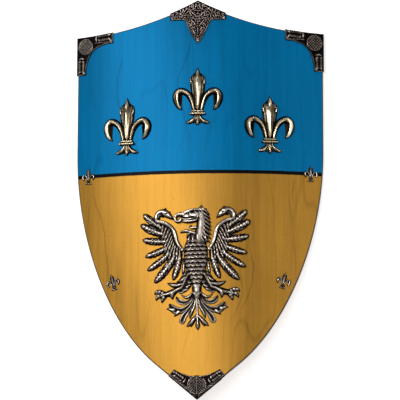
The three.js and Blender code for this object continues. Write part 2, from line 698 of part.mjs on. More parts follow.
const woodFinish = { color: "#c08a3c", roughness: 0.45, metalness: 0 };
const pewterFinish = { color: "#857c70", roughness: 0.35, metalness: 1 };
const bronzeFinish = { color: "#6f6152", roughness: 0.4, metalness: 1 };
const brassFinish = { color: "#c4a878", roughness: 0.28, metalness: 1 };

function named(name, solid, finish) {
  const mesh = new THREE.Mesh(geometryOf(solid), new THREE.MeshStandardMaterial(finish));
  mesh.name = name;
  return mesh;
}

const nailPlaces = {
  top_left: cornerNails(-1),
  top_right: cornerNails(1),
  peak: peakNails,
  tip: tipNails,
};

const shield = new THREE.Group();
const allNails = Object.values(nailPlaces).flat();
const board = allNails.reduce((whole, at) => whole.subtract(nailHole(at)), plainBoard);
shield.add(named("board", board, woodFinish));

const mounts = new THREE.Group();
mounts.add(
  named("mount_top_left", mountSolid(cornerMountParts(-1), nailPlaces.top_left), bronzeFinish),
  named("mount_top_right", mountSolid(cornerMountParts(1), nailPlaces.top_right), bronzeFinish),
  named("mount_peak", mountSolid(peakMountParts(), nailPlaces.peak), bronzeFinish),
  named("mount_tip", mountSolid(tipMountParts(), nailPlaces.tip), bronzeFinish),
);
for (const [place, nails] of Object.entries(nailPlaces)) {
  nails.forEach((at, i) => mounts.add(named(`nail_${place}_${i + 1}`, nail(at), pewterFinish)));
}

const ornaments = new THREE.Group();
const largeFleur = (name, u, v) => (
  ornaments.add(named(name, onBoard(fleurParts(largeFleurHeight, ridgeSection), u, v, 0), brassFinish)));
const smallFleur = (name, u, v, turn) => (
  ornaments.add(named(name, onBoard(smallFleurParts(smallFleurHeight), u, v, turn), pewterFinish)));
largeFleur("fleur_left", sideFleurInset - faceHalf, sideFleurFoot);
largeFleur("fleur_middle", 0, middleFleurFoot);
largeFleur("fleur_right", faceHalf - sideFleurInset, sideFleurFoot);
const stripeFleurU = bowRadius * Math.asin((halfWidth - stripeFleurInset) / bowRadius);
for (const [word, side] of [["left", -1], ["right", 1]]) {
  smallFleur(`small_fleur_stripe_${word}`, side * stripeFleurU, -smallFleurHeight / 2, 0);
  const lean = side * lowFleurAngle;
  const footU = side * (faceHalf - lowFleurInset) - (smallFleurHeight / 2) * Math.sin(lean * degrees);
  const footV = -lowFleurDrop - (smallFleurHeight / 2) * Math.cos(lean * degrees);
  smallFleur(`small_fleur_low_${word}`, footU, footV, -lean);
}
ornaments.add(named("eagle", onBoard(eagleParts(), -eagleLeftwards, -eagleDrop, eagleAngle), pewterFinish));

shield.add(mounts, ornaments);
const box = new THREE.Box3().setFromObject(shield);
const middle = box.getCenter(new THREE.Vector3());
shield.position.set(-middle.x, -middle.y, -box.min.z);

export default shield;
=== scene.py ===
import math
import bmesh
import bpy
import numpy as np
from mathutils import Matrix, Vector


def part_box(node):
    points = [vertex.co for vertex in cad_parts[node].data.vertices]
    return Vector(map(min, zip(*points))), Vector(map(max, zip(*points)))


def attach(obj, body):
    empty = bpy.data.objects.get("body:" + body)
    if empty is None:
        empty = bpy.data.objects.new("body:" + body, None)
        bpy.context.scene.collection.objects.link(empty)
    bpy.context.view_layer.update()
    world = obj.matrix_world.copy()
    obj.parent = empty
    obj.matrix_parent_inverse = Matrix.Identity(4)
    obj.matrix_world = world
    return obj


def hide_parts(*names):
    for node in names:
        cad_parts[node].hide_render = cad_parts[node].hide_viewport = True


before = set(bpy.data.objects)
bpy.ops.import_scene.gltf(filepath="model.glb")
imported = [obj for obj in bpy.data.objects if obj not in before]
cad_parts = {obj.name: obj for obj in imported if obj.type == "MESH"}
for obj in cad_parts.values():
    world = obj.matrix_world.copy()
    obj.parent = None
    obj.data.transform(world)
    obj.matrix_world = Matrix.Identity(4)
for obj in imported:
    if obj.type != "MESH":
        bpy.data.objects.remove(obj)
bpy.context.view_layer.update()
print("heater shield: frame loaded")

# Lengths below are in millimetres unless a note says otherwise. On the face, u runs across
# along the bow and v runs up from the middle of the painted stripe.

board = {
    "width": 380.6,
    "thickness": 9,
    "bowRadius": 488,
    "cornerHeight": 220,
    "peakRise": 47.3,
    "straightSide": 184.8,
    "tipDepth": 346.85,
    "tipStraight": 83.1,
    "tipHalfAngle": 50.25,
    "lowerPull": 0.263,
    "upperPull": 0.384,
    "restWidth": 4,
    "edgeRound": 1.3,
    "stripSpacing": 4,
    "stripeHalfWidth": 2.75,
}

halfWidth = board["width"] / 2
bowRadius = board["bowRadius"]
tipY = -board["tipDepth"]
restLevel = math.sqrt((bowRadius - board["thickness"]) ** 2 - (halfWidth - board["restWidth"]) ** 2) - bowRadius
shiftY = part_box("board")[0].y * 1000 - tipY
shiftZ = -restLevel
arcRadius = (halfWidth ** 2 + board["peakRise"] ** 2) / (2 * board["peakRise"])


def topEdge(x):
    return board["cornerHeight"] + arcRadius - math.sqrt(arcRadius ** 2 - (halfWidth - abs(x)) ** 2)


# a place on the curve from the first to the last of four points, pulled by the two between them
def onCurve(points, t):
    a, b, c, d = points
    return a * (1 - t) ** 3 + b * (3 * t * (1 - t) ** 2) + c * (3 * t * t * (1 - t)) + d * t ** 3


# outline of the board from the front, anticlockwise from the tip
def boardOutline(curveSteps=40, tipSteps=12, sideSteps=24):
    angle = math.radians(board["tipHalfAngle"])
    up = Vector((math.sin(angle), math.cos(angle)))
    tip = Vector((0, tipY))
    curveEnd = tip + up * board["tipStraight"]
    sideEnd = Vector((halfWidth, board["cornerHeight"] - board["straightSide"]))
    sweep = (sideEnd - curveEnd).length
    pulls = (curveEnd, curveEnd + up * (board["lowerPull"] * sweep),
             Vector((halfWidth, sideEnd.y - board["upperPull"] * sweep)), sideEnd)
    right = [tip + up * (board["tipStraight"] * k / tipSteps) for k in range(tipSteps)]
    right += [onCurve(pulls, k / curveSteps) for k in range(curveSteps)]
    right += [Vector((halfWidth, sideEnd.y + board["straightSide"] * k / sideSteps)) for k in range(sideSteps)]
    for k in range(curveSteps + 1):
        x = halfWidth * (1 - k / curveSteps)
        right.append(Vector((x, topEdge(x))))
    left = [Vector((-p.x, p.y)) for p in reversed(right[1:-1])]
    return right + left


# each point moves out by a distance from both its neighbouring sides
def grown(outline, distance):
    moved = []
    for i, point in enumerate(outline):
        before = (point - outline[i - 1]).normalized()
        after = (outline[(i + 1) % len(outline)] - point).normalized()
        outwards = Vector((before.y + after.y, -before.x - after.x)).normalized()
        share = outwards.x * before.y - outwards.y * before.x
        moved.append(point + outwards * (distance / share))
    return moved


def faceX(u):
    return bowRadius * math.sin(u / bowRadius)


def faceU(x):
    return bowRadius * math.asin(x / bowRadius)


faceHalf = faceU(halfWidth)


# bends a place on the flat to the bowed face, in metres
def onFace(u, v, h):
    angle = u / bowRadius
    radius = bowRadius + h
    return Vector((radius * math.sin(angle), v + shiftY, radius * math.cos(angle) - bowRadius + shiftZ)) / 1000


def faceOutwards(bm):
    bmesh.ops.recalc_face_normals(bm, faces=bm.faces[:])


def addObject(name, data):
    made = bpy.data.objects.new(name, data)
    bpy.context.scene.collection.objects.link(made)
    return made


def newMesh(name, bm, materials=()):
    mesh = bpy.data.meshes.new(name)
    bm.to_mesh(mesh)
    bm.free()
    for material in materials:
        mesh.materials.append(material)
    return mesh


# a piece such as mountPeak replaces the node mount_peak, unless another is given
def addPiece(name, bm, materials, node=None):
    piece = addObject(name, newMesh(name, bm, materials))
    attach(piece, "root")
    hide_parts(node or "".join(c if c.islower() else "_" + c.lower() for c in name))
    return piece


def newMaterial(name):
    material = bpy.data.materials.new(name)
    material.use_nodes = True
    return material, material.node_tree, material.node_tree.nodes["Principled BSDF"]


# sets a node's inputs to values, or links them to other nodes' outputs
def feed(tree, node, inputs):
    for key, value in inputs.items():
        socket = node.inputs[key]
        if isinstance(value, bpy.types.NodeSocket):
            tree.links.new(value, socket)
        else:
            socket.default_value = (*value, 1) if socket.type == "RGBA" else value


def addNode(tree, kind, inputs=(), **settings):
    node = tree.nodes.new(kind)
    for key, value in settings.items():
        setattr(node, key, value)
    feed(tree, node, dict(inputs))
    return node


def objectPlace(tree):
    return addNode(tree, "ShaderNodeTexCoord").outputs["Object"]


def mathNode(tree, operation, *values):
    return addNode(tree, "ShaderNodeMath", enumerate(values), operation=operation).outputs[0]


# a scaled reading of a texture, even about zero
def swing(tree, value, amount):
    return mathNode(tree, "MULTIPLY", mathNode(tree, "SUBTRACT", value, 0.5), amount)


def mapRange(tree, value, fromLow, fromHigh, toLow=0.0, toHigh=1.0):
    ends = {"Value": value, "From Min": fromLow, "From Max": fromHigh, "To Min": toLow, "To Max": toHigh}
    return addNode(tree, "ShaderNodeMapRange", ends).outputs["Result"]


def mixColor(tree, factor, first, second):
    return addNode(tree, "ShaderNodeMix", {0: factor, 6: first, 7: second}, data_type="RGBA").outputs[2]


# noise of one scale, or of a scale along each axis and then moved
def noise(tree, vector, scale, detail=3.0, roughness=0.5, distortion=0.0, location=(0, 0, 0)):
    if isinstance(scale, tuple):
        placing = {"Vector": vector, "Scale": scale, "Location": location}
        vector, scale = addNode(tree, "ShaderNodeMapping", placing).outputs["Vector"], 1.0
    grain = {"Vector": vector, "Scale": scale, "Detail": detail, "Roughness": roughness,
             "Distortion": distortion}
    return addNode(tree, "ShaderNodeTexNoise", grain).outputs["Fac"]


def bump(tree, height, strength, distance):
    relief = {"Height": height, "Strength": strength, "Distance": distance}
    return addNode(tree, "ShaderNodeBump", relief).outputs["Normal"]


# The board.

woodFinish = {
    "blue": (0.0, 0.161, 0.372),
    "gold": (0.41, 0.205, 0.030),
    "black": (0.004, 0.004, 0.005),
    "fleck": (0.16, 0.055, 0.010),
    "rim": (0.010, 0.007, 0.006),
    "rimWorn": (0.030, 0.018, 0.012),
    "backDark": (0.20, 0.105, 0.045),
    "backLight": (0.33, 0.19, 0.09),
    "backStreak": (0.30, 0.175, 0.085),
    "blueMetal": 0.17,
    "goldMetal": 0.46,
    "roughness": 0.34,
    "sheen": 0.04,
    "grainBump": 0.05,
    "veins": (
        (-200, 0, (-138, -138, -142, -146, -160, -164)),
        (-225, -70, (60, 78, 84, 78, 86)),
        (-240, -150, (42, 66, 62)),
        (40, 240, (-12, -20, -30, -14, -8)),
        (20, 190, (-128, -118, -126, -116)),
        (-60, -5, (150, 144, 148)),
    ),
}


# a dark vein that wanders up the board through evenly spaced places
def woodVein(tree, x, y, low, high, places, wander):
    curve = addNode(tree, "ShaderNodeFloatCurve", {"Value": mapRange(tree, y, low / 1000, high / 1000)})
    points = curve.mapping.curves[0].points
    spots = [(i / (len(places) - 1), 0.5 + place / board["width"]) for i, place in enumerate(places)]
    points[0].location, points[1].location = spots[:2]
    for spot in spots[2:]:
        points.new(*spot)
    curve.mapping.update()
    middle = mapRange(tree, curve.outputs["Value"], 0, 1, -halfWidth / 1000, halfWidth / 1000)
    apart = mathNode(tree, "ABSOLUTE", mathNode(tree, "SUBTRACT", mathNode(tree, "ADD", x, wander), middle))
    ends = mathNode(tree, "MULTIPLY", mapRange(tree, y, low / 1000, low / 1000 + 0.03),
                    mapRange(tree, y, high / 1000, high / 1000 - 0.012))
    return mathNode(tree, "MULTIPLY", mapRange(tree, apart, 0.0016, 0.0002), ends)


def makeStainedWood():
    material, tree, shader = newMaterial("stainedWood")
    place = objectPlace(tree)
    split = addNode(tree, "ShaderNodeSeparateXYZ", {0: place})
    height = mathNode(tree, "SUBTRACT", split.outputs["Y"], shiftY / 1000)
    height = mathNode(tree, "ADD", height, swing(tree, noise(tree, place, 60, 2), 0.0006))
    # fine grain runs up the board, with broad clouds of figure under it
    fine = noise(tree, place, (900, 22, 900), 4, 0.6)
    streak = noise(tree, place, (120, 3.2, 120), 3, 0.55, 0.4, (3, 1, 0))
    cloud = noise(tree, place, (9, 5, 9), 3, 0.6, 0, (7, 2, 0))
    speck = noise(tree, place, (700, 240, 700), 2, 0.7)
    grain = swing(tree, fine, 0.35)
    for layer, amount in ((streak, 0.45), (cloud, 0.5), (speck, 0.3)):
        grain = mathNode(tree, "ADD", grain, swing(tree, layer, amount))
    # dark lines of figure that follow the growth rings
    ring = noise(tree, place, (9, 1.5, 9), 2.5, 0.45, 0.3, (1.3, 0.2, 0))
    wave = mathNode(tree, "FRACT", mathNode(tree, "MULTIPLY", ring, 11.0))
    line = mathNode(tree, "ABSOLUTE", mathNode(tree, "SUBTRACT", wave, 0.5))
    patchy = noise(tree, place, (8, 6, 8), 2, location=(2, 8, 0))
    vein = mathNode(tree, "MULTIPLY", mapRange(tree, line, 0.09, 0.0), mapRange(tree, patchy, 0.42, 0.62))
    wander = swing(tree, noise(tree, place, 45, 3), 0.008)
    for low, high, places in woodFinish["veins"]:
        single = woodVein(tree, split.outputs["X"], height, low, high, places, wander)
        vein = mathNode(tree, "MAXIMUM", vein, mathNode(tree, "MULTIPLY", single, 1.5))
    stripe, soft = board["stripeHalfWidth"] / 1000, 0.0002
    isBlue = mapRange(tree, height, stripe - soft, stripe + soft)
    isGold = mapRange(tree, height, soft - stripe, -soft - stripe)
    bright = mathNode(tree, "ADD", 1.0, grain)
    bright = mathNode(tree, "SUBTRACT", bright, mathNode(tree, "MULTIPLY", vein, 0.2))
    fleck = mathNode(tree, "MULTIPLY", mapRange(tree, speck, 0.60, 0.72), isGold)
    color = mixColor(tree, isBlue, woodFinish["black"], woodFinish["blue"])
    color = mixColor(tree, isGold, color, woodFinish["gold"])
    color = mixColor(tree, mathNode(tree, "MULTIPLY", fleck, 0.55), color, woodFinish["fleck"])
    scaled = addNode(tree, "ShaderNodeVectorMath", {0: color, "Scale": bright}, operation="SCALE")
    feed(tree, shader, {
        "Base Color": scaled.outputs[0],
        "Roughness": mathNode(tree, "ADD", woodFinish["roughness"], mathNode(tree, "MULTIPLY", grain, 0.15)),
        "Metallic": mapRange(tree, isBlue, 0, 1, woodFinish["goldMetal"], woodFinish["blueMetal"]),
        "Specular IOR Level": woodFinish["sheen"],
        "Normal": bump(tree, fine, woodFinish["grainBump"], 0.0004),
    })
    return material


def makeDarkEdge():
    material, tree, shader = newMaterial("darkEdge")
    grain = noise(tree, objectPlace(tree), (300, 60, 300))
    feed(tree, shader, {
        "Base Color": mixColor(tree, grain, woodFinish["rim"], woodFinish["rimWorn"]),
        "Roughness": mapRange(tree, grain, 0.3, 0.7, 0.4, 0.6),
        "Normal": bump(tree, grain, 0.15, 0.0005),
    })
    return material


def makePlainBack():
    material, tree, shader = newMaterial("plainBack")
    place = objectPlace(tree)
    fine = noise(tree, place, (700, 18, 700), 4, 0.6)
    streak = noise(tree, place, (60, 1.6, 60), 3, 0.6, 0.8)
    light = mixColor(tree, fine, woodFinish["backDark"], woodFinish["backLight"])
    feed(tree, shader, {
        "Base Color": mixColor(tree, mapRange(tree, streak, 0.35, 0.65), woodFinish["backStreak"], light),
        "Roughness": mapRange(tree, fine, 0.3, 0.7, 0.5, 0.65),
        "Normal": bump(tree, fine, 0.12, 0.0005),
    })
    return material


def makeBoard():
    bm = bmesh.new()
    bm.faces.new([bm.verts.new((p.x, p.y, -board["thickness"])) for p in boardOutline()])
    lifted = bmesh.ops.extrude_face_region(bm, geom=bm.faces[:], use_keep_orig=True)
    bmesh.ops.translate(bm, vec=(0, 0, board["thickness"]),
                        verts=[g for g in lifted["geom"] if isinstance(g, bmesh.types.BMVert)])
    faceOutwards(bm)
    rims = [e for f in bm.faces if abs(f.normal.z) > 0.9 for e in f.edges]
    bmesh.ops.bevel(bm, geom=rims, offset=board["edgeRound"], affect="EDGES", segments=2, profile=0.5,
                    material=-1)
    broad = [f for f in bm.faces if f.calc_area() > 1000]
    for f in bm.faces:
        f.material_index = 1
        f.smooth = True
    for f in broad:
        f.material_index = 0 if f.normal.z > 0 else 2
    # a narrow ring keeps the shading of the broad faces true up to their edges
    bmesh.ops.inset_region(bm, faces=broad, thickness=0.6, use_even_offset=True)
    steps = int(halfWidth / board["stripSpacing"])
    for k in range(-steps, steps + 1):
        bmesh.ops.bisect_plane(bm, geom=bm.verts[:] + bm.edges[:] + bm.faces[:], dist=1e-4,
                               plane_co=(k * board["stripSpacing"] + 0.01, 0, 0), plane_no=(1, 0, 0))
    # bow the slab, keeping its sides upright, and rest it on the flats of its back edges
    for v in bm.verts:
        z = max(math.sqrt((bowRadius + v.co.z) ** 2 - v.co.x ** 2) - bowRadius, restLevel)
        v.co = Vector((v.co.x, v.co.y + shiftY, z + shiftZ)) / 1000
    faceOutwards(bm)
    piece = addPiece("shieldBoard", bm, [makeStainedWood(), makeDarkEdge(), makePlainBack()], "board")
    piece.data.set_sharp_from_angle(angle=math.radians(50))


makeBoard()
print("heater shield: board made")


# Reliefs. A figure is drawn flat with strokes as a height field, then made a mesh and bent.

def newField(low, high, cell):
    u = np.arange(low[0], high[0] + cell, cell)
    v = np.arange(low[1], high[1] + cell, cell)
    gridU, gridV = np.meshgrid(u, v)
    return {"u": gridU, "v": gridV, "cell": cell, "height": np.zeros_like(gridU),
            "edge": np.full_like(gridU, -99.0)}


# a smooth line through the stations, each its place, half width and height
def smoothStations(stations, perSpan=6):
    rows = np.array(stations, float)
    if len(rows) == 2:
        return rows
    padded = np.vstack([2 * rows[0] - rows[1], rows, 2 * rows[-1] - rows[-2]])
    line = []
    for i in range(1, len(padded) - 2):
        a, b, c, d = padded[i - 1:i + 3]
        for t in np.arange(perSpan) / perSpan:
            line.append(0.5 * (2 * b + (c - a) * t + (2 * a - 5 * b + 4 * c - d) * t ** 2
                               + (3 * b - a - 3 * c + d) * t ** 3))
    line.append(rows[-1])
    line = np.array(line)
    line[:, 2] = np.maximum(line[:, 2], 0.05)
    return line


def windowOf(field, low, high):
    cell = field["cell"]
    rows, columns = field["u"].shape
    u0, v0 = field["u"][0, 0], field["v"][0, 0]
    c0, c1 = int((low[0] - u0) / cell), int((high[0] - u0) / cell) + 2
    r0, r1 = int((low[1] - v0) / cell), int((high[1] - v0) / cell) + 2
    return slice(max(r0, 0), min(r1, rows)), slice(max(c0, 0), min(c1, columns))


# how high a stroke stands across its width, e from 0 at its middle line to 1 at its edge
def crossSection(kind, e):
    dome = np.sqrt(np.clip(1 - e ** 2, 0, 1))
    if kind == "ridge":
        return 0.35 * dome + 0.65 * np.clip(1 - e, 0, 1) ** 0.9
    if kind == "hollow":
        return dome * (0.42 + 0.58 * np.clip(e * 1.2, 0, 1) ** 2)
    if kind == "flat":
        return np.clip(dome * 1.6, 0, 1)
    return dome


# mode is raise or carve; beads and barbs are the spacing of marks along the stroke
def addStroke(field, stations, section="round", mode="raise", beads=0, barbs=0, depth=0.3, slant=1,
              scallop=0):
    line = smoothStations(stations)
    margin = line[:, 2].max() + 3 * field["cell"]
    rows, columns = windowOf(field, line[:, :2].min(0) - margin, line[:, :2].max(0) + margin)
    u, v = field["u"][rows, columns], field["v"][rows, columns]
    best = np.full(u.shape, -99.0)
    e = np.full(u.shape, 9.0)
    along = np.zeros(u.shape)
    tall, wide = np.zeros(u.shape), np.ones(u.shape)
    walked = 0.0
    for a, b in zip(line[:-1], line[1:]):
        span = b[:2] - a[:2]
        length = float(np.hypot(*span))
        if length < 1e-6:
            continue
        t = np.clip(((u - a[0]) * span[0] + (v - a[1]) * span[1]) / length ** 2, 0, 1)
        du, dv = u - a[0] - t * span[0], v - a[1] - t * span[1]
        distance = np.hypot(du, dv)
        width = a[2] + (b[2] - a[2]) * t
        if scallop:
            width = width * (1 - 0.08 * np.cos(2 * math.pi * (walked + t * length) / scallop))
        closer = width - distance > best
        best = np.where(closer, width - distance, best)
        e = np.where(closer, distance / width, e)
        along = np.where(closer, walked + t * length, along)
        tall = np.where(closer, a[3] + (b[3] - a[3]) * t, tall)
        wide = np.where(closer, width, wide)
        walked += length
    inside = best > 0
    shape = crossSection(section, e)
    if beads:
        bead = np.cos(math.pi * ((along / beads) % 1 - 0.5)) ** 0.8
        shape = shape * (1 - depth * (1 - bead) * np.clip(1.25 - e, 0, 1))
    if barbs:
        comb = np.abs(((along + slant * e * wide) / barbs) % 1 - 0.5) * 2
        shape = shape * (1 - depth * (1 - comb) * np.clip(e * 2.2, 0, 1))
    height = field["height"][rows, columns]
    if mode == "raise":
        height[:] = np.where(inside, np.maximum(height, tall * shape), height)
        edge = field["edge"][rows, columns]
        edge[:] = np.maximum(edge, best)
    else:
        height[:] = np.where(inside, height - tall * shape, height)


# a flat region with straight sides, given by its corners in order
def regionEdge(field, corners):
    u, v = field["u"], field["v"]
    nearest = np.full(u.shape, 1e9)
    inside = np.zeros(u.shape, bool)
    for (x0, y0), (x1, y1) in zip(corners, corners[1:] + corners[:1]):
        dx, dy = x1 - x0, y1 - y0
        t = np.clip(((u - x0) * dx + (v - y0) * dy) / (dx * dx + dy * dy), 0, 1)
        nearest = np.minimum(nearest, np.hypot(u - x0 - t * dx, v - y0 - t * dy))
        crosses = (y0 > v) != (y1 > v)
        with np.errstate(divide="ignore", invalid="ignore"):
            at = x0 + (v - y0) * dx / np.where(dy == 0, 1e-12, dy)
        inside ^= crosses & (u < at)
    return np.where(inside, nearest, -nearest)


def blurred(values, radius, passes=3):
    size = 2 * radius + 1
    for _ in range(passes):
        for axis in (0, 1):
            padded = np.concatenate([np.repeat(np.take(values, [0], axis), radius + 1, axis), values,
                                     np.repeat(np.take(values, [-1], axis), radius, axis)], axis)
            total = np.cumsum(padded, axis)
            high = np.take(total, range(size, total.shape[axis]), axis)
            low = np.take(total, range(0, total.shape[axis] - size), axis)
            values = (high - low) / size
    return values


# how far a place stands out of its surroundings, 0 in a recess and 1 on a crest, and lowered towards a figure's
# outline, where it carries patina together with painted shade
def crestOf(field, reach, contrast):
    mask = (field["edge"] > 0).astype(float)
    radius = max(1, int(reach / field["cell"]))
    mean = blurred(field["height"] * mask, radius, 2) / np.maximum(blurred(mask, radius, 2), 1e-3)
    crest = np.clip(0.5 + (field["height"] - mean) / contrast, 0, 1)
    # painted shade: the crest falls towards the outline of each figure, where it meets the board, as well as
    # patina there
    return crest * np.clip(0.15 + field["edge"] / 0.9, 0, 1)


# how near the edge a corner snaps to it, and what is too thin a face, in shares of a cell
snapReach, sliverShare = 0.62, 0.02


# makes the closed mesh of a field, its underside at a floor height, and bends it to the face
def reliefMesh(field, wall, floor, place, turn, reach, contrast):
    cell, edge = field["cell"], field["edge"]
    inside = edge > 0
    field["height"] = np.where(inside, np.maximum(field["height"], wall), 0)
    crest = crestOf(field, reach, contrast)
    slopeV, slopeU = np.gradient(edge, cell)
    steep = np.maximum(np.hypot(slopeU, slopeV), 0.2)
    near = np.abs(edge) < snapReach * cell * steep
    shift = np.where(near, -edge / steep ** 2, 0)
    snapU, snapV = field["u"] + shift * slopeU, field["v"] + shift * slopeV
    kept = inside | near
    heights = np.where(inside, field["height"], wall)
    bm = bmesh.new()
    rows, columns = edge.shape
    bmesh.ops.create_grid(bm, x_segments=columns - 1, y_segments=rows - 1, size=1)
    heightLayer = bm.verts.layers.float.new("relief")
    crestLayer = bm.verts.layers.float.new("crest")
    bm.verts.ensure_lookup_table()
    gone = []
    grids = (snapU, snapV, heights, crest, kept, inside)
    for vert, u, v, h, c, stays, isInside in zip(bm.verts, *(grid.ravel().tolist() for grid in grids)):
        vert.co = (u, v, floor)
        vert[heightLayer] = h
        vert[crestLayer] = c
        vert.select = isInside
        if not stays:
            gone.append(vert)
    idle = [f for f in bm.faces if not any(v.select for v in f.verts)]
    bmesh.ops.delete(bm, geom=idle, context="FACES")
    bmesh.ops.triangulate(bm, faces=[f for f in bm.faces if not all(v.select for v in f.verts)])
    gone = [v for v in gone if v.is_valid]
    bmesh.ops.delete(bm, geom=gone, context="VERTS")
    thin = [f for f in bm.faces if f.calc_area() < sliverShare * cell * cell]
    bmesh.ops.delete(bm, geom=thin, context="FACES")
    bmesh.ops.delete(bm, geom=[v for v in bm.verts if not v.link_faces], context="VERTS")
    for f in bm.faces:
        f.smooth = True
    lifted = bmesh.ops.extrude_face_region(bm, geom=bm.faces[:], use_keep_orig=True)
    for g in lifted["geom"]:
        if isinstance(g, bmesh.types.BMVert):
            g.co.z = g[heightLayer]
    faceOutwards(bm)
    bmesh.ops.rotate(bm, verts=bm.verts[:], cent=(0, 0, 0),
                     matrix=Matrix.Rotation(math.radians(turn), 3, "Z"))
    for vert in bm.verts:
        vert.co = onFace(vert.co.x + place[0], vert.co.y + place[1], vert.co.z)
    return bm


# strokes whose stations are in hundredths of the figure's height
def figureStroke(field, unit, side=1, swell=1.0):
    def draw(stations, section="round", **marks):
        addStroke(field, [[side * x * unit, y * unit, swell * w * unit, h * unit] for x, y, w, h in stations],
                  section, **marks)
    return draw


# The metals.

metalFinish = {
    "pewter": {"bright": (0.90, 0.78, 0.67), "dark": (0.014, 0.009, 0.007), "wear": (0.40, 0.88),
               "roughness": 0.24, "pitting": 0.16},
    "brass": {"bright": (1.0, 0.83, 0.56), "dark": (0.012, 0.008, 0.005), "wear": (0.34, 0.76),
              "roughness": 0.16, "pitting": 0.14},
    "bronze": {"bright": (0.86, 0.71, 0.61), "dark": (0.007, 0.005, 0.005), "wear": (0.55, 0.90),
               "roughness": 0.34, "pitting": 0.25},
}


# dark where the crest attribute is low and worn bright where it is high; the darkening along each figure's
# outline is partly patina and partly painted shade
def makeAntiqueMetal(kind):
    finish = metalFinish[kind]
    bright, dark, roughness = finish["bright"], finish["dark"], finish["roughness"]
    low, high = finish["wear"]
    material, tree, shader = newMaterial("antique" + kind.capitalize())
    place = objectPlace(tree)
    crest = addNode(tree, "ShaderNodeAttribute", attribute_type="GEOMETRY", attribute_name="crest")
    # wear and patina from the crest attribute, with painted shade along the outlines
    wearAndShade = crest.outputs["Fac"]
    spots = noise(tree, place, 900, 3, 0.6)
    cloud = noise(tree, place, 130, 3, 0.55)
    for layer, amount in ((spots, 0.30), (cloud, 0.25)):
        wearAndShade = mathNode(tree, "ADD", wearAndShade, swing(tree, layer, amount))
    ramp = addNode(tree, "ShaderNodeValToRGB", {"Fac": wearAndShade})
    stops = ramp.color_ramp.elements
    stops[0].position, stops[0].color = low, (*dark, 1)
    stops[1].position, stops[1].color = high, (*bright, 1)
    middle = stops.new((low + high) / 2)
    middle.color = (*[0.55 * d + 0.27 * b for d, b in zip(dark, bright)], 1)
    feed(tree, shader, {
        "Base Color": ramp.outputs["Color"],
        "Roughness": mapRange(tree, wearAndShade, low, high, roughness + 0.22, roughness),
        "Metallic": 1.0,
        "Normal": bump(tree, spots, finish["pitting"], 0.0004),
    })
    return material


metals = {kind: makeAntiqueMetal(kind) for kind in metalFinish}
sides = (("Left", -1), ("Right", 1))


# The fleurs-de-lis, each drawn from the tip of its foot.

fleur = {
    "largeHeight": 89.5,
    "sideInset": 85,
    "sideFoot": 29.3,
    "middleFoot": 72.6,
    "smallHeight": 26,
    "stripeInset": 19,
    "lowInset": 63.7,
    "lowDrop": 167,
    "lowTurn": 14.5,
    "largeCell": 0.5,
    "smallCell": 0.26,
    "smallDull": 0.09,
    "wall": 1.0,
    "underside": 0.1,
    "crestReach": 3.0,
    "crestContrast": 3.4,
}


def drawFleur(height, cell):
    unit = height / 100
    field = newField((-43.5 * unit, -2 * unit), (43.5 * unit, 102 * unit), cell)
    draw = figureStroke(field, unit)
    # middle petal with its pointed shoulders, the lance above and grooves along it
    draw([[0, 24, 4, 4], [0, 36, 6.2, 6.4], [0, 50, 9.4, 7.6], [0, 62, 12, 8.2], [0, 72, 13.2, 8.2],
          [0, 79, 12.6, 7.2]], "ridge")
    draw([[0, 78, 8, 7.2], [0, 86, 6.2, 6.6], [0, 93, 3.4, 5.2], [0, 100, 0.4, 1.8]], "ridge")
    for side in (-1, 1):
        part = figureStroke(field, unit, side)
        part([[10.8, 72, 2.2, 5.4], [11.6, 78, 2, 5.6], [12, 83.6, 0.6, 3]], "ridge")
        part([[8.6, 79, 2.2, 5.4], [8.8, 84, 1.4, 4.6], [7.6, 88.4, 0.5, 3]], "ridge")
        part([[3.6, 32, 0.7, 0.5], [5.6, 50, 1, 0.9], [7.2, 66, 1.1, 0.9], [7.4, 76, 0.7, 0.5]], mode="carve")
        # arm with its sharp ridge, then the drooping leaf
        part([[5.2, 20, 3, 4.4], [7.4, 31, 3.7, 5.6], [10.5, 43, 4.7, 6.8], [15.5, 52.5, 5.6, 7.6],
              [22, 58, 6, 8], [28, 60, 6, 7.6]], "ridge")
        part([[24, 62, 3.4, 5.4], [30.4, 59.6, 6.2, 7.6], [34.4, 53.6, 8.2, 8.4], [35, 46.5, 8.4, 8.2],
              [33.8, 38, 6.4, 7.2], [31.4, 31.6, 4, 5.4], [27.4, 27.2, 1.2, 2.6]], "ridge")
        part([[26, 45, 1.8, 2.8], [29.6, 52.4, 2.8, 2.6], [30.6, 45, 2.8, 2.4], [29.6, 36.6, 1.8, 1.6]],
             mode="carve")
        part([[12, 41, 0.9, 0.9], [17, 49.4, 1.2, 1.1], [23, 54, 1.1, 0.9]], mode="carve")
        part([[2.6, 20.5, 2.6, 4.6], [4.8, 13, 3.2, 5.4], [9.2, 7.8, 4, 5.6], [14.6, 5, 3.6, 5],
              [19.4, 4.4, 1.4, 3]], "ridge")
        part([[1.4, 18, 1.6, 4.8], [3, 9.4, 1.8, 4.6], [5.8, 3.4, 1, 3]], "ridge")
    draw([[0, 21, 2.2, 5], [0, 10, 3, 5.8], [0, 4.6, 4, 6], [0, 1.6, 2.4, 4]], "ridge")
    # band of two rings
    draw([[-9.6, 23.6, 2.1, 7.2], [9.6, 23.6, 2.1, 7.2]])
    draw([[-11.8, 19.3, 2.3, 8], [11.8, 19.3, 2.3, 8]])
    return field


# size is large or small
def makeFleur(name, size, place, turn, slot, node=None):
    height = fleur[size + "Height"]
    share = height / fleur["largeHeight"]
    bm = reliefMesh(drawFleur(height, fleur[size + "Cell"]), fleur["wall"] * max(share, 0.5),
                    fleur["underside"], place, turn, fleur["crestReach"] * share,
                    fleur["crestContrast"] * share)
    if size == "small":
        crestLayer = bm.verts.layers.float["crest"]
        for vert in bm.verts:
            vert[crestLayer] -= fleur["smallDull"]
    addPiece(name, bm, [metals[slot]], node)


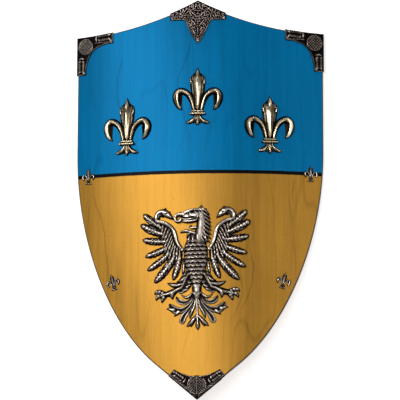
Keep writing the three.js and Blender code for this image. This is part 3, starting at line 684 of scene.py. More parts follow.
for word, side in (("Left", -1), ("Middle", 0), ("Right", 1)):
    foot = fleur["sideFoot"] if side else fleur["middleFoot"]
    makeFleur("largeFleur" + word, "large", (side * (faceHalf - fleur["sideInset"]), foot), 0, "brass",
              "fleur_" + word.lower())
stripeU = faceU(halfWidth - fleur["stripeInset"])
half, lean = fleur["smallHeight"] / 2, math.radians(fleur["lowTurn"])
lowU = faceHalf - fleur["lowInset"] - half * math.sin(lean)
lowV = -fleur["lowDrop"] - half * math.cos(lean)
for word, side in sides:
    makeFleur("smallFleurStripe" + word, "small", (side * stripeU, -half), 0, "pewter")
    makeFleur("smallFleurLow" + word, "small", (side * lowU, lowV), -side * fleur["lowTurn"], "pewter")
print("heater shield: fleurs-de-lis made")


# The displayed eagle, drawn from the line of its shoulders.

eagle = {
    "height": 189,
    "drop": 120,
    "offset": -2.2,
    "turn": 1.7,
    "cell": 0.65,
    "wall": 1.0,
    "underside": 0.1,
    "crestReach": 2.6,
    "crestContrast": 2.5,
}

wingBone = [(30.8, 24.2), (24.2, 22.4), (19.7, 19.4), (17.1, 15.6), (16.1, 12), (15.2, 8), (13.5, 4),
            (10.8, 0)]
featherRoots = [(28.5, 19.5), (26.4, 13.4), (25.2, 7.4), (24, 1.8), (22.4, -3.4), (18.4, -7), (13.4, -6.5),
                (9.6, -10)]
featherTips = [(41.7, 30.6), (44.2, 22.3), (42.8, 9.8), (41, -4), (39.6, -15.2), (34, -25.4), (18.8, -24),
               (11, -19.6)]
featherWidths = [3.1, 3.4, 3, 2.8, 2.8, 3.4, 2.8, 1.4]


def drawWing(field, unit, side):
    draw = figureStroke(field, unit, side)
    # sheet between the bone and the feathers
    draw([[28, 21, 3, 1.1], [23, 16, 5, 1.3], [20.5, 8, 5.6, 1.3], [17.6, 0.5, 5, 1.3], [14, -6, 3, 1.1]],
         "flat")
    for (rootX, rootY), (tipX, tipY), width in zip(featherRoots, featherTips, featherWidths):
        dx, dy = tipX - rootX, tipY - rootY
        length = math.hypot(dx, dy)
        bend = 0.03 * length
        stations = []
        for share, w, h in ((-0.25, 0.8, 2.1), (0, 0.9, 2.5), (0.3, 1, 2.8), (0.62, 1, 2.7),
                            (0.86, 0.74, 2.3), (0.97, 0.34, 1.4)):
            curve = bend * 4 * share * (1 - share)
            stations.append([rootX + dx * share + dy / length * curve,
                             rootY + dy * share - dx / length * curve,
                             w * width, h * min(1, width / 2.4)])
        draw(stations, barbs=2.6 * unit, depth=0.55, slant=-0.9, scallop=3.4 * unit)
        shaft = [[x, y, 0.5 * width, h * 1.1] for x, y, w, h in stations[:-1]]
        draw(shaft, beads=2.6 * unit, depth=0.7)
    # coverts: three rows of drops that overlap like tiles from the bone out to the feathers
    for start, end, w, h in ((0.66, 1.16, 2.0, 2.9), (0.36, 0.86, 1.9, 3.2), (0.08, 0.56, 1.8, 3.5)):
        for k in range(11):
            place = 0.2 + k * 0.6
            i, t = int(place), place % 1
            rootX, rootY = (featherRoots[i][n] * (1 - t) + featherRoots[i + 1][n] * t for n in (0, 1))
            boneX, boneY = (wingBone[i][n] * (1 - t) + wingBone[i + 1][n] * t for n in (0, 1))
            x0, y0 = boneX + (rootX - boneX) * start, boneY + (rootY - boneY) * start
            x1, y1 = boneX + (rootX - boneX) * end, boneY + (rootY - boneY) * end
            draw([[x0, y0, 0.5 * w, h * 0.55], [(x0 + 2 * x1) / 3, (y0 + 2 * y1) / 3, w, h],
                  [x1, y1, 0.55 * w, h * 0.9]], "ridge", barbs=1.9 * unit, depth=0.35)
    # bone of two mouldings
    draw([[x, y, 1.5, 3.0] for x, y in wingBone], "flat")
    draw([[x + 0.55, y + 0.5, 0.62, 3.9] for x, y in wingBone])
    draw([[x - 0.75, y - 0.6, 0.55, 3.7] for x, y in wingBone])
    # bird's head that ends the bone
    draw = figureStroke(field, unit, side, 1.5)
    draw([[30.6, 23.8, 1.5, 3], [31.2, 27.6, 1.4, 3.2], [29.4, 30.6, 1.5, 3.4], [26.2, 31.6, 1.7, 3.6],
          [23.6, 30.6, 2, 3.8]])
    draw([[24.4, 30.8, 2, 3.8], [21.8, 29, 1.8, 3.6], [19.6, 27, 1.1, 3], [17.5, 25, 0.25, 1.2]])
    draw([[24.2, 31.6, 1.2, 3], [23.6, 34.6, 0.35, 1.4]])
    draw([[22, 30.4, 0.9, 3], [20, 31.4, 0.3, 1.4]])
    draw([[29.6, 25.6, 0.7, 2.6], [28.9, 28.4, 0.8, 2.8], [27, 28.9, 0.7, 2.6], [25.8, 27.6, 0.5, 2]])
    draw([[22.8, 29.6, 0.5, 0.9], [22.6, 29.5, 0.5, 0.9]], mode="carve")


def drawLegs(field, unit, side):
    draw = figureStroke(field, unit, side, 1.5)
    # thigh with its leafy spurs
    draw([[5.6, -19, 2.2, 2.8], [7.8, -24, 3.4, 3.4], [10, -28.5, 3.5, 3.4], [12.6, -33, 1.8, 2.6]], "hollow",
         barbs=2.2 * unit, depth=0.25)
    draw([[6.4, -20, 0.6, 3.6], [9, -25, 0.7, 4.2], [12, -31, 0.6, 3.4]])
    draw([[8.8, -22, 0.8, 3], [12.2, -25.2, 1.1, 3], [15.6, -25.6, 0.3, 1]], "ridge")
    draw([[10.8, -27.6, 1.6, 3], [15.4, -28.8, 1.7, 3.2], [19.4, -28.2, 1.3, 2.8], [22.9, -26.8, 0.5, 1.2]],
         "ridge")
    # shank, knee spur, foot and claws
    draw([[12, -30.6, 1.5, 2.8], [16.4, -32.4, 1.4, 2.8], [20, -34.6, 2, 3.2], [24, -35.4, 1.6, 3],
          [27, -36, 2, 3.2]], "ridge")
    draw([[19.6, -34.8, 1.5, 3], [20, -37.2, 1.1, 2.6], [19.6, -39.4, 0.45, 1.2]])
    for toe in ([[26.4, -35.2, 1.5, 3], [30, -33.4, 1.4, 3], [32.6, -33.6, 1, 2.4], [34.2, -34.8, 0.35, 1]],
                [[27, -36.2, 1.4, 3], [30.4, -36.6, 1.3, 3], [32.4, -38, 0.9, 2.2], [32.9, -39.8, 0.35, 1]],
                [[26, -37, 1.4, 3], [27.6, -39, 1.2, 2.8], [28.3, -41.8, 0.4, 1.1]]):
        draw(toe, beads=2.6 * unit, depth=0.3)


def drawTail(field, unit, side):
    draw = figureStroke(field, unit, side, 1.2)
    draw([[3.2, -37.4, 0.8, 2.4], [6.2, -41.4, 1, 2.6], [10.6, -43, 1.5, 3], [14.4, -41.4, 1.7, 3],
          [16.6, -38.2, 0.5, 1.2]], "hollow")
    draw([[3.6, -35.8, 0.9, 2.6], [7, -38.6, 1.1, 2.8], [10, -38.4, 0.9, 2.4], [12.4, -36.4, 0.3, 1]],
         "ridge")
    draw([[2.4, -38, 1, 2.6], [5, -43.6, 1.2, 2.8], [9.6, -47.7, 1.5, 3], [14, -49.2, 2.2, 3.2],
          [18.4, -48.2, 2.7, 3.2], [21, -45.6, 1.7, 2.4], [22.2, -43.4, 0.4, 1.2]], "hollow")
    draw([[19.2, -48.4, 1.9, 2.4], [22, -47.6, 1.1, 2.2], [24.6, -47.3, 0.3, 1]])
    draw([[15, -50.2, 1.6, 2.4], [16.8, -51.8, 1, 2.2], [18.6, -53.4, 0.3, 1]])
    draw([[1.6, -38.6, 0.9, 2.6], [4, -45, 1.1, 3], [7.6, -50, 1.4, 3.2], [10.8, -54, 2, 3.4],
          [12.2, -57, 2.1, 3.2], [12.5, -58, 1.8, 2.8]], "hollow")
    draw([[1, -40, 0.7, 2.6], [2.2, -46, 0.9, 2.8], [4.4, -50.6, 1.2, 2.8], [5.6, -53.4, 1, 2.2],
          [6, -56, 0.3, 1]], "ridge")
    draw([[0.6, -53.8, 1.1, 2.6], [3.6, -57.4, 1.7, 3], [6.4, -60.2, 1.4, 2.4], [8.5, -62.2, 0.4, 1]],
         "ridge")
    draw([[3.2, -57.6, 1.4, 2.4], [4.6, -60.4, 1, 2], [5.4, -62.6, 0.3, 1]], "ridge")


# rows of scales on the breast, all in hundredths of the eagle's height
def drawScales(field, unit):
    figureStroke(field, unit)([[0, 8.5, 6.4, 4.2], [0, 4, 8, 4.7], [0, -1, 9.6, 4.7], [0, -7, 9.5, 4.7],
                               [0, -14, 8.3, 4.6], [0, -20, 6.5, 4.7], [0, -26, 4.6, 4.4], [0, -31, 4, 4.1],
                               [0, -35, 3.8, 3.8]])
    top, bottom, rowHeight, column = 7.4, -33.5, 3.3, 3.9
    u, v = field["u"] / unit, field["v"] / unit
    down = (top - v) / rowHeight
    scale = np.zeros(u.shape)
    for offset in (-1, 0, 1):
        row = np.floor(down) + offset
        bounds = []
        for r in (row - 1, row):
            across = 2 * ((u / column + 0.5 * r) % 1) - 1
            bounds.append(r + 0.62 * np.sqrt(np.clip(1 - across ** 2, 0, 1)))
        within = (down >= bounds[0]) & (down < bounds[1])
        scale = np.where(within, (down - bounds[0]) / np.maximum(bounds[1] - bounds[0], 0.05), scale)
    onBreast = (np.abs(u) < 9.4) & (v < top) & (v > bottom) & (field["height"] > 1.5 * unit)
    fade = np.clip((v - bottom) / 3, 0, 1)
    field["height"] += np.where(onBreast, (scale - 0.5) * 1.5 * unit * fade, 0)


def drawHead(field, unit):
    draw = figureStroke(field, unit)
    # neck, smooth in front and ragged behind
    draw([[1.4, 4, 7.2, 4.6], [3.6, 9, 5.6, 5], [4.6, 14, 4.9, 5.2], [5.2, 20, 4.2, 5.2], [5.4, 25.4, 5, 5],
          [3, 28.2, 5.2, 4.8]])
    for k in range(8):
        share = k / 7
        x = 9.8 + 1.2 * math.sin(math.pi * share)
        y = 30 - 23 * share
        draw([[x - 3.6, y + 2.6, 1.3, 4.8], [x - 1, y + 0.6, 1.5, 4.4], [x + 2.3, y - 2.5, 0.3, 1.4]],
             "ridge")
        draw([[x - 5.4, y + 2.8, 0.8, 5.4], [x - 3.4, y - 0.4, 1, 5.3], [x - 2.4, y - 2.8, 0.3, 4]], "ridge")
    # skull and snout, brow, crest
    draw([[5, 27.6, 5.4, 4.8], [0.4, 27.5, 4.9, 4.8], [-4.6, 27, 4.3, 4.2], [-9, 26, 3.2, 3.4]])
    draw([[6, 31.2, 1.6, 4.8], [1, 32, 1.4, 5.2], [-4, 31.3, 1.3, 5.2], [-7.6, 29.9, 1.2, 4.8],
          [-10.4, 28.6, 1, 4.2]])
    draw([[4.2, 32, 1.8, 4.6], [5.6, 34.4, 1.1, 3.2], [5.3, 35.8, 0.4, 1.4]])
    draw([[7.4, 31, 1.6, 4.2], [9.4, 32.6, 0.5, 1.8]])
    # eye between its lids
    draw([[-5.6, 29.1, 1.6, 2.2], [-5.2, 29.2, 1.6, 2.2]], mode="carve")
    draw([[-8.6, 28, 0.6, 4.6], [-5.6, 30.3, 0.75, 5.2], [-3, 29.6, 0.6, 5.2]])
    draw([[-7.6, 27.6, 0.5, 4.4], [-5, 27.6, 0.55, 4.8], [-2.8, 28.6, 0.5, 5]])
    draw([[-5.5, 29.1, 0.8, 4.8], [-5.3, 29.1, 0.8, 4.8]])
    # beak that curls into a ring, with the mouth and the jaw behind it
    draw([[-9, 28.6, 2, 4.4], [-12.6, 28.8, 1.7, 4.4], [-15.2, 27.4, 1.5, 4.2], [-15.8, 25.2, 1.5, 4],
          [-14.4, 23.3, 1.5, 4], [-12.2, 23.2, 1.4, 3.8], [-10.9, 24.9, 1.2, 3.8], [-11.6, 26.2, 0.9, 3.4]])
    draw([[-9.8, 26.2, 0.7, 1.8], [-7, 25.2, 0.8, 2.2], [-3.4, 26.2, 0.8, 2.2], [-0.4, 25.6, 0.6, 1.8]],
         mode="carve")
    draw([[-9.6, 22.9, 1, 3.8], [-5.4, 22.7, 1.6, 4.4], [-1.2, 23, 1.5, 4.4], [1.6, 23.6, 1.2, 4.2]])
    draw([[-8.8, 24.5, 0.5, 3.8], [-5, 24.3, 0.6, 4.4], [-1.8, 24.9, 0.5, 4.4]])
    draw([[-8.6, 26.8, 0.5, 3.8], [-5, 26.3, 0.5, 4.2], [-2, 27.2, 0.5, 4.4]])
    # cheek of two plumes
    draw([[0.4, 30.6, 0.8, 5.2], [2.4, 27.8, 1.1, 5.4], [2.3, 25, 1.1, 5.4], [0.8, 22.6, 0.6, 4.6]], "ridge")
    draw([[3.4, 31, 0.7, 5], [5, 28, 0.9, 5.4], [5.2, 25, 0.9, 5.4], [4.2, 22.4, 0.4, 5]], "ridge")
    # tufts at the throat, joined to the neck and the breast
    draw([[2.6, 17.2, 1.4, 4], [-0.4, 17.6, 1.4, 3.6], [-2.8, 17.4, 1.3, 3.4], [-3.9, 18.7, 0.9, 2.8],
          [-2.8, 19.7, 0.4, 1.4]])
    draw([[0.4, 12.6, 1.7, 4], [-3.6, 13.9, 1.6, 3.6], [-7, 15, 1.4, 3.4], [-9.6, 14.9, 1.2, 3],
          [-12, 13.9, 0.4, 1.4]])
    draw([[-3, 13.8, 1.4, 3.4], [-5.4, 12.2, 1.2, 3], [-6.4, 10.6, 0.9, 2.4], [-6.8, 9, 0.35, 1.2]])
    draw([[0.6, 12.6, 1.7, 4.2], [-2, 10.4, 1.5, 3.8], [-4.6, 7.8, 1.4, 3.4], [-7, 4.6, 0.9, 2.6]], "ridge")
    # pointed feathers where the neck meets the breast
    for x, y, lean in ((-4.6, 7.6, -1.2), (-1.4, 8.6, -0.6), (2, 9.4, 0), (5, 9.4, 0.4), (8, 8.6, 0.8)):
        draw([[x, y + 2.4, 0.9, 5.2], [x + 0.5 * lean, y - 0.4, 1.5, 5.4], [x + lean, y - 3.6, 0.4, 4.6]],
             "ridge")


def drawEagle():
    unit = eagle["height"] / 100
    field = newField((-46.5 * unit, -67 * unit), (46.5 * unit, 38 * unit), eagle["cell"])
    for side in (-1, 1):
        drawWing(field, unit, side)
        drawLegs(field, unit, side)
        drawTail(field, unit, side)
    drawScales(field, unit)
    drawHead(field, unit)
    draw = figureStroke(field, unit)
    # collar and stem of the tail, then its last drop
    draw([[0, -30, 3.9, 4.6], [0, -35, 3.7, 4.4], [0, -38, 3, 3.6]])
    for side in (-1, 1):
        draw([[3.4 * side, -35.4, 0.7, 4.4], [1.4 * side, -36.6, 0.7, 4.8], [0, -38.4, 0.5, 4]])
    draw([[0, -36, 1.2, 3.4], [0, -44, 0.9, 3.4], [0, -52, 1, 3.2], [0, -58, 1.2, 3.2], [0, -61.4, 2, 3],
          [0, -63.4, 1.3, 2.2], [0, -65, 0.3, 1]], "ridge")
    return field


bm = reliefMesh(drawEagle(), eagle["wall"], eagle["underside"], (eagle["offset"], -eagle["drop"]),
                eagle["turn"], eagle["crestReach"], eagle["crestContrast"])
addPiece("displayedEagle", bm, [metals["pewter"]], "eagle")
print("heater shield: eagle made")


# The mounts.

mount = {
    "thickness": 1.4,
    "gap": 0.3,
    "lip": 0.97,
    "lipDepth": 6,
    "lipAboveRest": 0.8,
    "rimHalfWidth": 0.9,
    "rimHeight": 0.9,
    "cell": 0.45,
    "crestReach": 1.6,
    "crestContrast": 1.5,
    "lipCrest": 0.45,
}
plateTop = mount["gap"] + mount["thickness"]
rimTop = plateTop + mount["rimHeight"]
lipOutline = grown(boardOutline(), mount["gap"] + mount["lip"])
lipCorners = [(faceU(p.x), p.y) for p in lipOutline]


# a ringed disc with a lattice of fine bars; with a cross the bars fill its quarters
def drawMedallion(field, u, v, radius, spacing, cross):
    addStroke(field, [[u, v, radius, plateTop + 0.35], [u + 0.01, v, radius, plateTop + 0.35]], "flat")
    across, up = field["u"] - u, field["v"] - v
    distance = np.hypot(across, up)
    field["plate"] = np.maximum(field["plate"], radius - distance)
    ring = np.exp(-((distance - (radius - 0.9)) / 0.6) ** 2)
    bars = []
    for along in ((across + up) / math.sqrt(2), (across - up) / math.sqrt(2)):
        toBar = (along / spacing + 0.5) % 1 - 0.5
        bars.append(np.exp(-(toBar / 0.26) ** 4))
    figure = 0.8 * np.maximum(*bars) + 0.25 * np.minimum(*bars)
    if cross:
        beam = np.exp(-(np.minimum(np.abs(across), np.abs(up)) / 0.7) ** 4)
        figure = np.maximum(figure * (1 - beam), 1.15 * beam)
    inside = distance < radius - 1.6
    field["height"] += np.where(distance < radius, 1.1 * ring, 0) + np.where(inside, figure, 0)


def edgeLip(path):
    bm = bmesh.new()
    # top and bottom of the lip at a place on the outline
    def ends(p):
        x = max(-halfWidth, min(halfWidth, p.x))
        low = math.sqrt((bowRadius - mount["lipDepth"]) ** 2 - x ** 2) - bowRadius
        high = math.sqrt((bowRadius + plateTop - 0.2) ** 2 - x ** 2) - bowRadius
        low = max(low, restLevel + mount["lipAboveRest"])
        return [Vector((p.x, p.y + shiftY, z + shiftZ)) / 1000 for z in (low, high)]
    low, high = (bm.verts.new(c) for c in ends(path[0]))
    edge = bm.edges.new((low, high))
    for p in path[1:]:
        made = bmesh.ops.extrude_edge_only(bm, edges=[edge])
        edge = [g for g in made["geom"] if isinstance(g, bmesh.types.BMEdge)][0]
        pair = sorted(edge.verts, key=lambda v: v.co.z)
        for vert, place in zip(pair, ends(p)):
            vert.co = place
    faceOutwards(bm)
    bmesh.ops.solidify(bm, geom=bm.faces[:], thickness=mount["lip"] / 1000)
    faceOutwards(bm)
    return bm


def outlineBetween(test):
    chosen = [i for i, p in enumerate(lipOutline) if test(p)]
    # the chosen run may pass the start of the list
    starts = [i for i in chosen if (i - 1) % len(lipOutline) not in chosen]
    i = starts[0]
    run = []
    while i % len(lipOutline) in chosen and len(run) < len(chosen):
        run.append(lipOutline[i % len(lipOutline)])
        i += 1
    return run


def makeMount(name, field, lipTest):
    field["edge"] = field["plate"]
    bm = reliefMesh(field, plateTop - 0.15, mount["gap"], (0, 0), 0, mount["crestReach"],
                    mount["crestContrast"])
    lip = edgeLip(outlineBetween(lipTest))
    crestLayer = lip.verts.layers.float.new("crest")
    for v in lip.verts:
        v[crestLayer] = mount["lipCrest"]
    holder = newMesh("lip", lip)
    bm.from_mesh(holder)
    bpy.data.meshes.remove(holder)
    addPiece(name, bm, [metals["bronze"]])


# winding foliage in low relief, mirrored about the mount's middle line
def drawFoliage(field, seed, height, spread, width):
    cells = np.random.default_rng(seed).normal(size=field["u"].shape)
    near = max(1, int(spread / field["cell"] / 2))
    waves = blurred(cells, near, 3)
    waves -= blurred(waves, 3 * near, 2)
    waves = waves + waves[:, ::-1]
    waves = waves / waves.std()
    crest = np.clip(1 - np.abs(waves) / width, 0, 1)
    field["height"] += np.where(field["edge"] > 1.6, height * np.sqrt(crest), 0)


# a leaf across the arm, then two rows of lobes that lean away from the arm's middle line
def drawArmLeaves(field, place, start, end, reach):
    def draw(stations, section="ridge"):
        addStroke(field, [[*place(x, y), 1.7 * w, plateTop + h] for x, y, w, h in stations], section)

    draw([[start, -0.95 * reach, 0.6, 0.9], [start - 0.8, -0.1 * reach, 2.5, 1.6],
          [start + 0.6, 0.95 * reach, 0.5, 0.9]])
    lobes = max(3, round((end - start - 3) / 3.3))
    pitch = (end - start - 3) / lobes
    for k in range(lobes):
        root = start + 3 + pitch * k
        size = 1 - 0.15 * k / lobes
        for side in (-1, 1):
            draw([[root, 0.2 * side * reach, 1.1, 1.1],
                  [root + 0.5 * pitch, 0.55 * side * reach * size, 1.7, 1.6],
                  [root + 1.3 * pitch, 0.95 * side * reach * size, 0.7, 1.0]], "round")
    draw([[start + 2, 0, 0.5, 0.8], [0.5 * (start + end), 0, 0.6, 1.3], [end, 0, 0.4, 0.8]], "round")


def clipToLip(field, region):
    field["plate"] = np.minimum(region, regionEdge(field, lipCorners))
    field["edge"] = field["plate"].copy()
    field["height"] = np.where(field["plate"] > 0, plateTop, 0.0)


corner = {
    "armEnd": 60.4,
    "armWidth": 16,
    "sideEnd": 59,
    "sideWidth": 14.4,
    "arc": [(0.86, 0), (0.32, 0.06), (0.09, 0.24), (0, 0.86)],
    "medallion": 12.6,
    "margin": 1.4,
    "lattice": 3.2,
    "beads": 14,
    "beadSpacing": 2.1,
    "leafRise": 9,
    "leafStart": 6.5,
    "leafHalfWidth": 5.8,
    "sideLeafHalfWidth": 5.2,
}


def cornerInnerEdge():
    endU = faceHalf - corner["armEnd"]
    innerV = topEdge(faceX(endU)) - corner["armWidth"]
    sideU = faceHalf - corner["sideWidth"]
    endV = board["cornerHeight"] - corner["sideEnd"]
    pulls = [Vector((sideU - across * (sideU - endU), innerV - down * (innerV - endV)))
             for across, down in corner["arc"]]
    return [(endU, innerV), *[tuple(onCurve(pulls, k / 12)) for k in range(13)], (sideU, endV)]


def makeCornerMount(word, side):
    inner = cornerInnerEdge()
    endU, innerV = inner[0]
    sideU, endV = inner[-1]
    above = board["cornerHeight"] + 20
    region = inner + [(faceHalf + 4, endV), (faceHalf + 4, above), (endU, above)]
    lowU, highU = (endU - 2, faceHalf + 3) if side > 0 else (-faceHalf - 3, -endU + 2)
    field = newField((lowU, endV - 2), (highU, above - 10), mount["cell"])
    clipToLip(field, regionEdge(field, [(side * x, y) for x, y in region]))
    rim = []
    for k, (x, y) in enumerate(inner):
        share = k / (len(inner) - 1)
        rim.append([side * (x + 0.9 * share), y + 0.9 * (1 - share), mount["rimHalfWidth"], rimTop])
    addStroke(field, rim)
    for k in range(corner["beads"]):
        bead = [side * (endU + 2 + corner["beadSpacing"] * k), innerV + 2.4, 0.75, plateTop + 1.1]
        addStroke(field, [bead, [bead[0] + 0.1, *bead[1:]]])
    for ends in (((endU + 0.8, innerV + 1), (endU + 0.8, above)),
                 ((sideU, endV + 0.8), (faceHalf - 1, endV + 0.8))):
        addStroke(field, [[side * x, y, 0.7, rimTop] for x, y in ends])
    medallion = corner["medallion"]
    inset = corner["margin"] + medallion
    root = corner["armEnd"] - inset - medallion
    leafV = innerV + corner["leafRise"]
    drawArmLeaves(field, lambda along, aside: (side * (endU + root - along), leafV + 0.06 * along + aside),
                  corner["leafStart"], root - 5, corner["leafHalfWidth"])
    middle = sideU + 0.52 * corner["sideWidth"]
    rootDown = corner["sideEnd"] - inset - medallion
    drawArmLeaves(field, lambda along, aside: (side * (middle + aside), endV + rootDown - along),
                  corner["leafStart"], rootDown - 4.5, corner["sideLeafHalfWidth"])
    drawMedallion(field, side * (faceHalf - inset), board["cornerHeight"] - inset, medallion,
                  corner["lattice"], False)
    makeMount("mountTop" + word, field, lambda p: side * p.x > faceX(endU) and p.y > endV)


for word, side in sides:
    makeCornerMount(word, side)

peak = {
    "armLength": 43,
    "armDrop": 29.5,
    "leafHalfWidth": 21.6,
    "leafDrop": 67.3,
    "foliage": {"seed": 21, "height": 0.95, "spread": 2.1, "width": 0.85},
}
peakV = board["cornerHeight"] + board["peakRise"]


def makePeakMount():
    armV = peakV - peak["armDrop"]
    pointV = peakV - peak["leafDrop"]
    leaf, length = peak["leafHalfWidth"], peak["armLength"]
    pulls = ((leaf, armV), (0.72 * leaf, armV - 4), (0.7 * leaf, pointV + 18), (0, pointV))
    right = [tuple(onCurve([Vector(p) for p in pulls], k / 14)) for k in range(15)]
    region = ([(length, armV), (length, peakV + 4), (-length, peakV + 4), (-length, armV)]
              + [(-x, y) for x, y in right] + list(reversed(right[:-1])))
    field = newField((-length - 2, pointV - 2), (length + 2, peakV + 4), mount["cell"])
    clipToLip(field, regionEdge(field, region))
    drawFoliage(field, **peak["foliage"])
    crest = plateTop + 1.4
    for side in (-1, 1):
        addStroke(field, [[side * x * 0.965, y + 1.2, mount["rimHalfWidth"], rimTop]
                          for x, y in [(length, armV)] + right])
        addStroke(field, [[side * 14, armV + 8, 1.2, crest], [side * (length - 6), armV + 5, 0.8, crest - 0.3]],
                  beads=4, depth=0.5)
        for k, (reachOut, rise) in enumerate(((10, 13), (12, 15), (14, 14))):
            v = pointV + 12 + 15 * k
            addStroke(field, [[side * 1.2, v, 0.7, crest - 0.3],
                              [side * 0.55 * reachOut, v + 0.45 * rise, 1.5, crest + 0.3],
                              [side * reachOut, v + rise, 0.5, crest - 0.6]], "ridge")
    addStroke(field, [[0, pointV + 6, 0.6, crest], [0, pointV + 30, 0.9, crest + 0.2],
                      [0, peakV - 6, 0.9, crest]], beads=4, depth=0.6)
    makeMount("mountPeak", field, lambda p: abs(p.x) < faceX(length) and p.y > 0)


makePeakMount()

tip = {
    "armLength": 55,
    "armWidth": 12,
    "medallion": 14.6,
    "medallionRise": 20.2,
    "webRise": 33.4,
    "lattice": 2.9,
}


# a place by its way up the board's edge from the point and its way in from the edge
def besideTip(side, up, inwards):
    angle = math.radians(board["tipHalfAngle"])
    upU, upV = math.sin(angle), math.cos(angle)
    return side * (upU * up - upV * inwards), upV * up + upU * inwards + tipY


def makeTipMount():
    length = tip["armLength"]
    inner = besideTip(1, length, tip["armWidth"])
    outer = besideTip(1, length, -4)
    webV = tip["webRise"] + tipY
    web = []
    for k in range(13):
        t = k / 12
        web.append((inner[0] * (1 - t) ** 2 - inner[0] * t * t,
                    inner[1] * (1 - t) ** 2 + 2 * t * (1 - t) * (2 * webV - inner[1]) + inner[1] * t * t))
    region = [(0, tipY - 6), outer, *web, (-outer[0], outer[1])]
    field = newField((-outer[0] - 2, tipY - 4), (outer[0] + 2, inner[1] + 3), mount["cell"])
    clipToLip(field, regionEdge(field, region))
    addStroke(field, [[x * 0.98, y - 0.9, mount["rimHalfWidth"], rimTop] for x, y in web])
    for side in (-1, 1):
        for inwards, w in ((1.2, 0.55), (3.1, 0.5)):
            addStroke(field, [[*besideTip(side, up, inwards), w, rimTop - 0.1] for up in (4, 28, length)])
        addStroke(field, [[*besideTip(side, length - 0.7, inwards), 0.6, rimTop]
                          for inwards in (0, tip["armWidth"])])
        drawArmLeaves(field, lambda along, aside: besideTip(side, 26 + along, 8.4 - 0.05 * along + aside),
                      6, 23, 4.6)
    drawMedallion(field, 0, tip["medallionRise"] + tipY, tip["medallion"], tip["lattice"], True)
    reach = besideTip(1, length, 0)
    makeMount("mountTip", field, lambda p: p.y < reach[1] and abs(p.x) < reach[0])


makeTipMount()
print("heater shield: mounts made")


# The nails.

nail = {"radius": 1.9, "height": 1.2, "lift": 2.0, "inset": 3.2, "foot": (0.35, -1.2), "steps": 6}


def makeNail(name, u, v):
    bm = bmesh.new()
    radius, height, steps = nail["radius"], nail["height"], nail["steps"]
    turns = [0.5 * math.pi * k / steps for k in range(steps + 1)]
    profile = [bm.verts.new((radius * math.cos(a), 0, height * math.sin(a))) for a in turns]
    foot = bm.verts.new((radius * nail["foot"][0], 0, nail["foot"][1]))
    edges = [bm.edges.new(pair) for pair in zip([foot] + profile, profile)]
    bmesh.ops.spin(bm, geom=bm.verts[:] + edges, cent=(0, 0, 0), axis=(0, 0, 1), angle=2 * math.pi, steps=20,
                   use_merge=True)
    bmesh.ops.remove_doubles(bm, verts=bm.verts[:], dist=1e-3)
    bmesh.ops.holes_fill(bm, edges=[e for e in bm.edges if e.is_boundary], sides=0)
    faceOutwards(bm)
    crestLayer = bm.verts.layers.float.new("crest")
    turn = Matrix.Rotation(u / bowRadius, 4, "Y")
    spot = onFace(u, v, nail["lift"])
    for vert in bm.verts:
        vert[crestLayer] = 0.35 + 0.4 * max(0, vert.co.z) / height
        vert.co = turn @ (vert.co / 1000) + spot
    for f in bm.faces:
        f.smooth = True
    addPiece(name, bm, [metals["pewter"]])


def findNailPlaces():
    inset = nail["inset"]
    inner = cornerInnerEdge()
    armU, armV = peak["armLength"] - inset, peakV - peak["armDrop"] + inset
    tipU, tipV = besideTip(1, tip["armLength"] - inset, tip["armWidth"] - inset)
    places = {"Peak1": (-armU, armV), "Peak2": (armU, armV),
              "Peak3": (0, peakV - peak["leafDrop"] + 1.6 * inset), "Tip1": (-tipU, tipV), "Tip2": (tipU, tipV)}
    for word, side in sides:
        places["Top" + word + "1"] = (side * (inner[0][0] + inset), inner[0][1] + inset + 1)
        places["Top" + word + "2"] = (side * (inner[-1][0] + inset), inner[-1][1] + inset)
    return places


for name, (u, v) in findNailPlaces().items():
    makeNail("nail" + name, u, v)
print("heater shield: nails made")


# The floor, the lights and the camera.

studio = {
    "floorColor": (0.85, 0.85, 0.85),
    "floorGlow": 0.6,
    "floorSize": 14,
    "skyStops": [(0.0, 0.03), (1.0, 0.06), (0.07, 0.06), (0.13, 0.42), (0.25, 0.40), (0.36, 0.06),
                 (0.54, 0.06), (0.66, 0.30), (0.84, 0.34), (0.92, 0.08)],
    "keySoftbox": {"tilt": -18.5, "rise": 10, "distance": 3.0, "width": 0.62, "length": 3.0, "power": 54},
    "fillSoftbox": {"tilt": 42, "rise": 6, "distance": 3.0, "width": 0.8, "length": 2.4, "power": 10},
    "cameraYaw": -0.088249,
    "cameraPitch": -0.179334,
    "cameraRoll": -0.0030306,
    "cameraDistance": 4000,
    "cameraSide": 3.865,
    "cameraRise": -43.222,
    "lensPixels": 2623.345,
    "frameWidth": 400,
    "sensorWidth": 36,
}


def makeFloor():
    bm = bmesh.new()
    bmesh.ops.create_grid(bm, x_segments=8, y_segments=8, size=studio["floorSize"] / 2)
    material, tree, shader = newMaterial("paleFloor")
    feed(tree, shader, {"Base Color": studio["floorColor"], "Roughness": 0.9, "Specular IOR Level": 0.1,
                        "Emission Color": (1, 1, 1), "Emission Strength": studio["floorGlow"]})
    addObject("studioFloor", newMesh("studioFloor", bm, [material]))


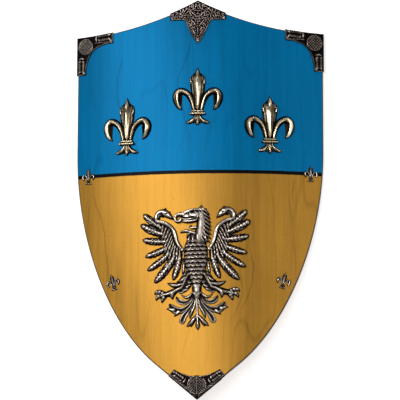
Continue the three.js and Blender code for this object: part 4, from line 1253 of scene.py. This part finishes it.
# a lamp that faces the middle, tilted to the side and raised by degrees
def addSoftbox(name, tilt, rise, distance, width, length, power):
    light = bpy.data.lights.new(name, "AREA")
    light.shape = "RECTANGLE"
    light.size, light.size_y, light.energy = width, length, power
    lamp = addObject(name, light)
    turn = Matrix.Rotation(math.radians(tilt), 3, "Y") @ Matrix.Rotation(math.radians(-rise), 3, "X")
    away = turn @ Vector((0, 0, 1))
    lamp.location = away * distance
    lamp.rotation_mode = "QUATERNION"
    lamp.rotation_quaternion = away.to_track_quat("Z", "Y")


def makeWorld():
    world = bpy.data.worlds.new("studioWorld")
    bpy.context.scene.world = world
    world.use_nodes = True
    tree = world.node_tree
    way = addNode(tree, "ShaderNodeTexCoord").outputs["Generated"]
    split = addNode(tree, "ShaderNodeSeparateXYZ", {0: way})
    ramp = addNode(tree, "ShaderNodeValToRGB", {"Fac": mapRange(tree, split.outputs["X"], -1, 1)})
    stops = ramp.color_ramp.elements
    for i, (where, strength) in enumerate(studio["skyStops"]):
        stop = stops[i] if i < 2 else stops.new(where)
        stop.position = where
        stop.color = (strength, strength, strength, 1)
    feed(tree, tree.nodes["Background"], {"Strength": ramp.outputs["Color"], "Color": (1, 1, 1)})


def makeCamera():
    turn = (Matrix.Rotation(studio["cameraRoll"], 3, "Z") @ Matrix.Rotation(studio["cameraPitch"], 3, "X")
            @ Matrix.Rotation(studio["cameraYaw"], 3, "Y"))
    data = bpy.data.cameras.new("photoCamera")
    data.sensor_width = studio["sensorWidth"]
    data.lens = studio["lensPixels"] / studio["frameWidth"] * studio["sensorWidth"]
    data.clip_end = 50
    camera = addObject("photoCamera", data)
    spot = turn.transposed() @ Vector((studio["cameraSide"], studio["cameraRise"], studio["cameraDistance"]))
    spot += Vector((0, shiftY, shiftZ))
    camera.matrix_world = Matrix.Translation(spot / 1000) @ turn.transposed().to_4x4()
    bpy.context.scene.camera = camera


makeFloor()
makeWorld()
for name in ("keySoftbox", "fillSoftbox"):
    addSoftbox(name, **studio[name])
makeCamera()
bpy.context.scene.view_settings.view_transform = "Standard"
print("heater shield: studio made")
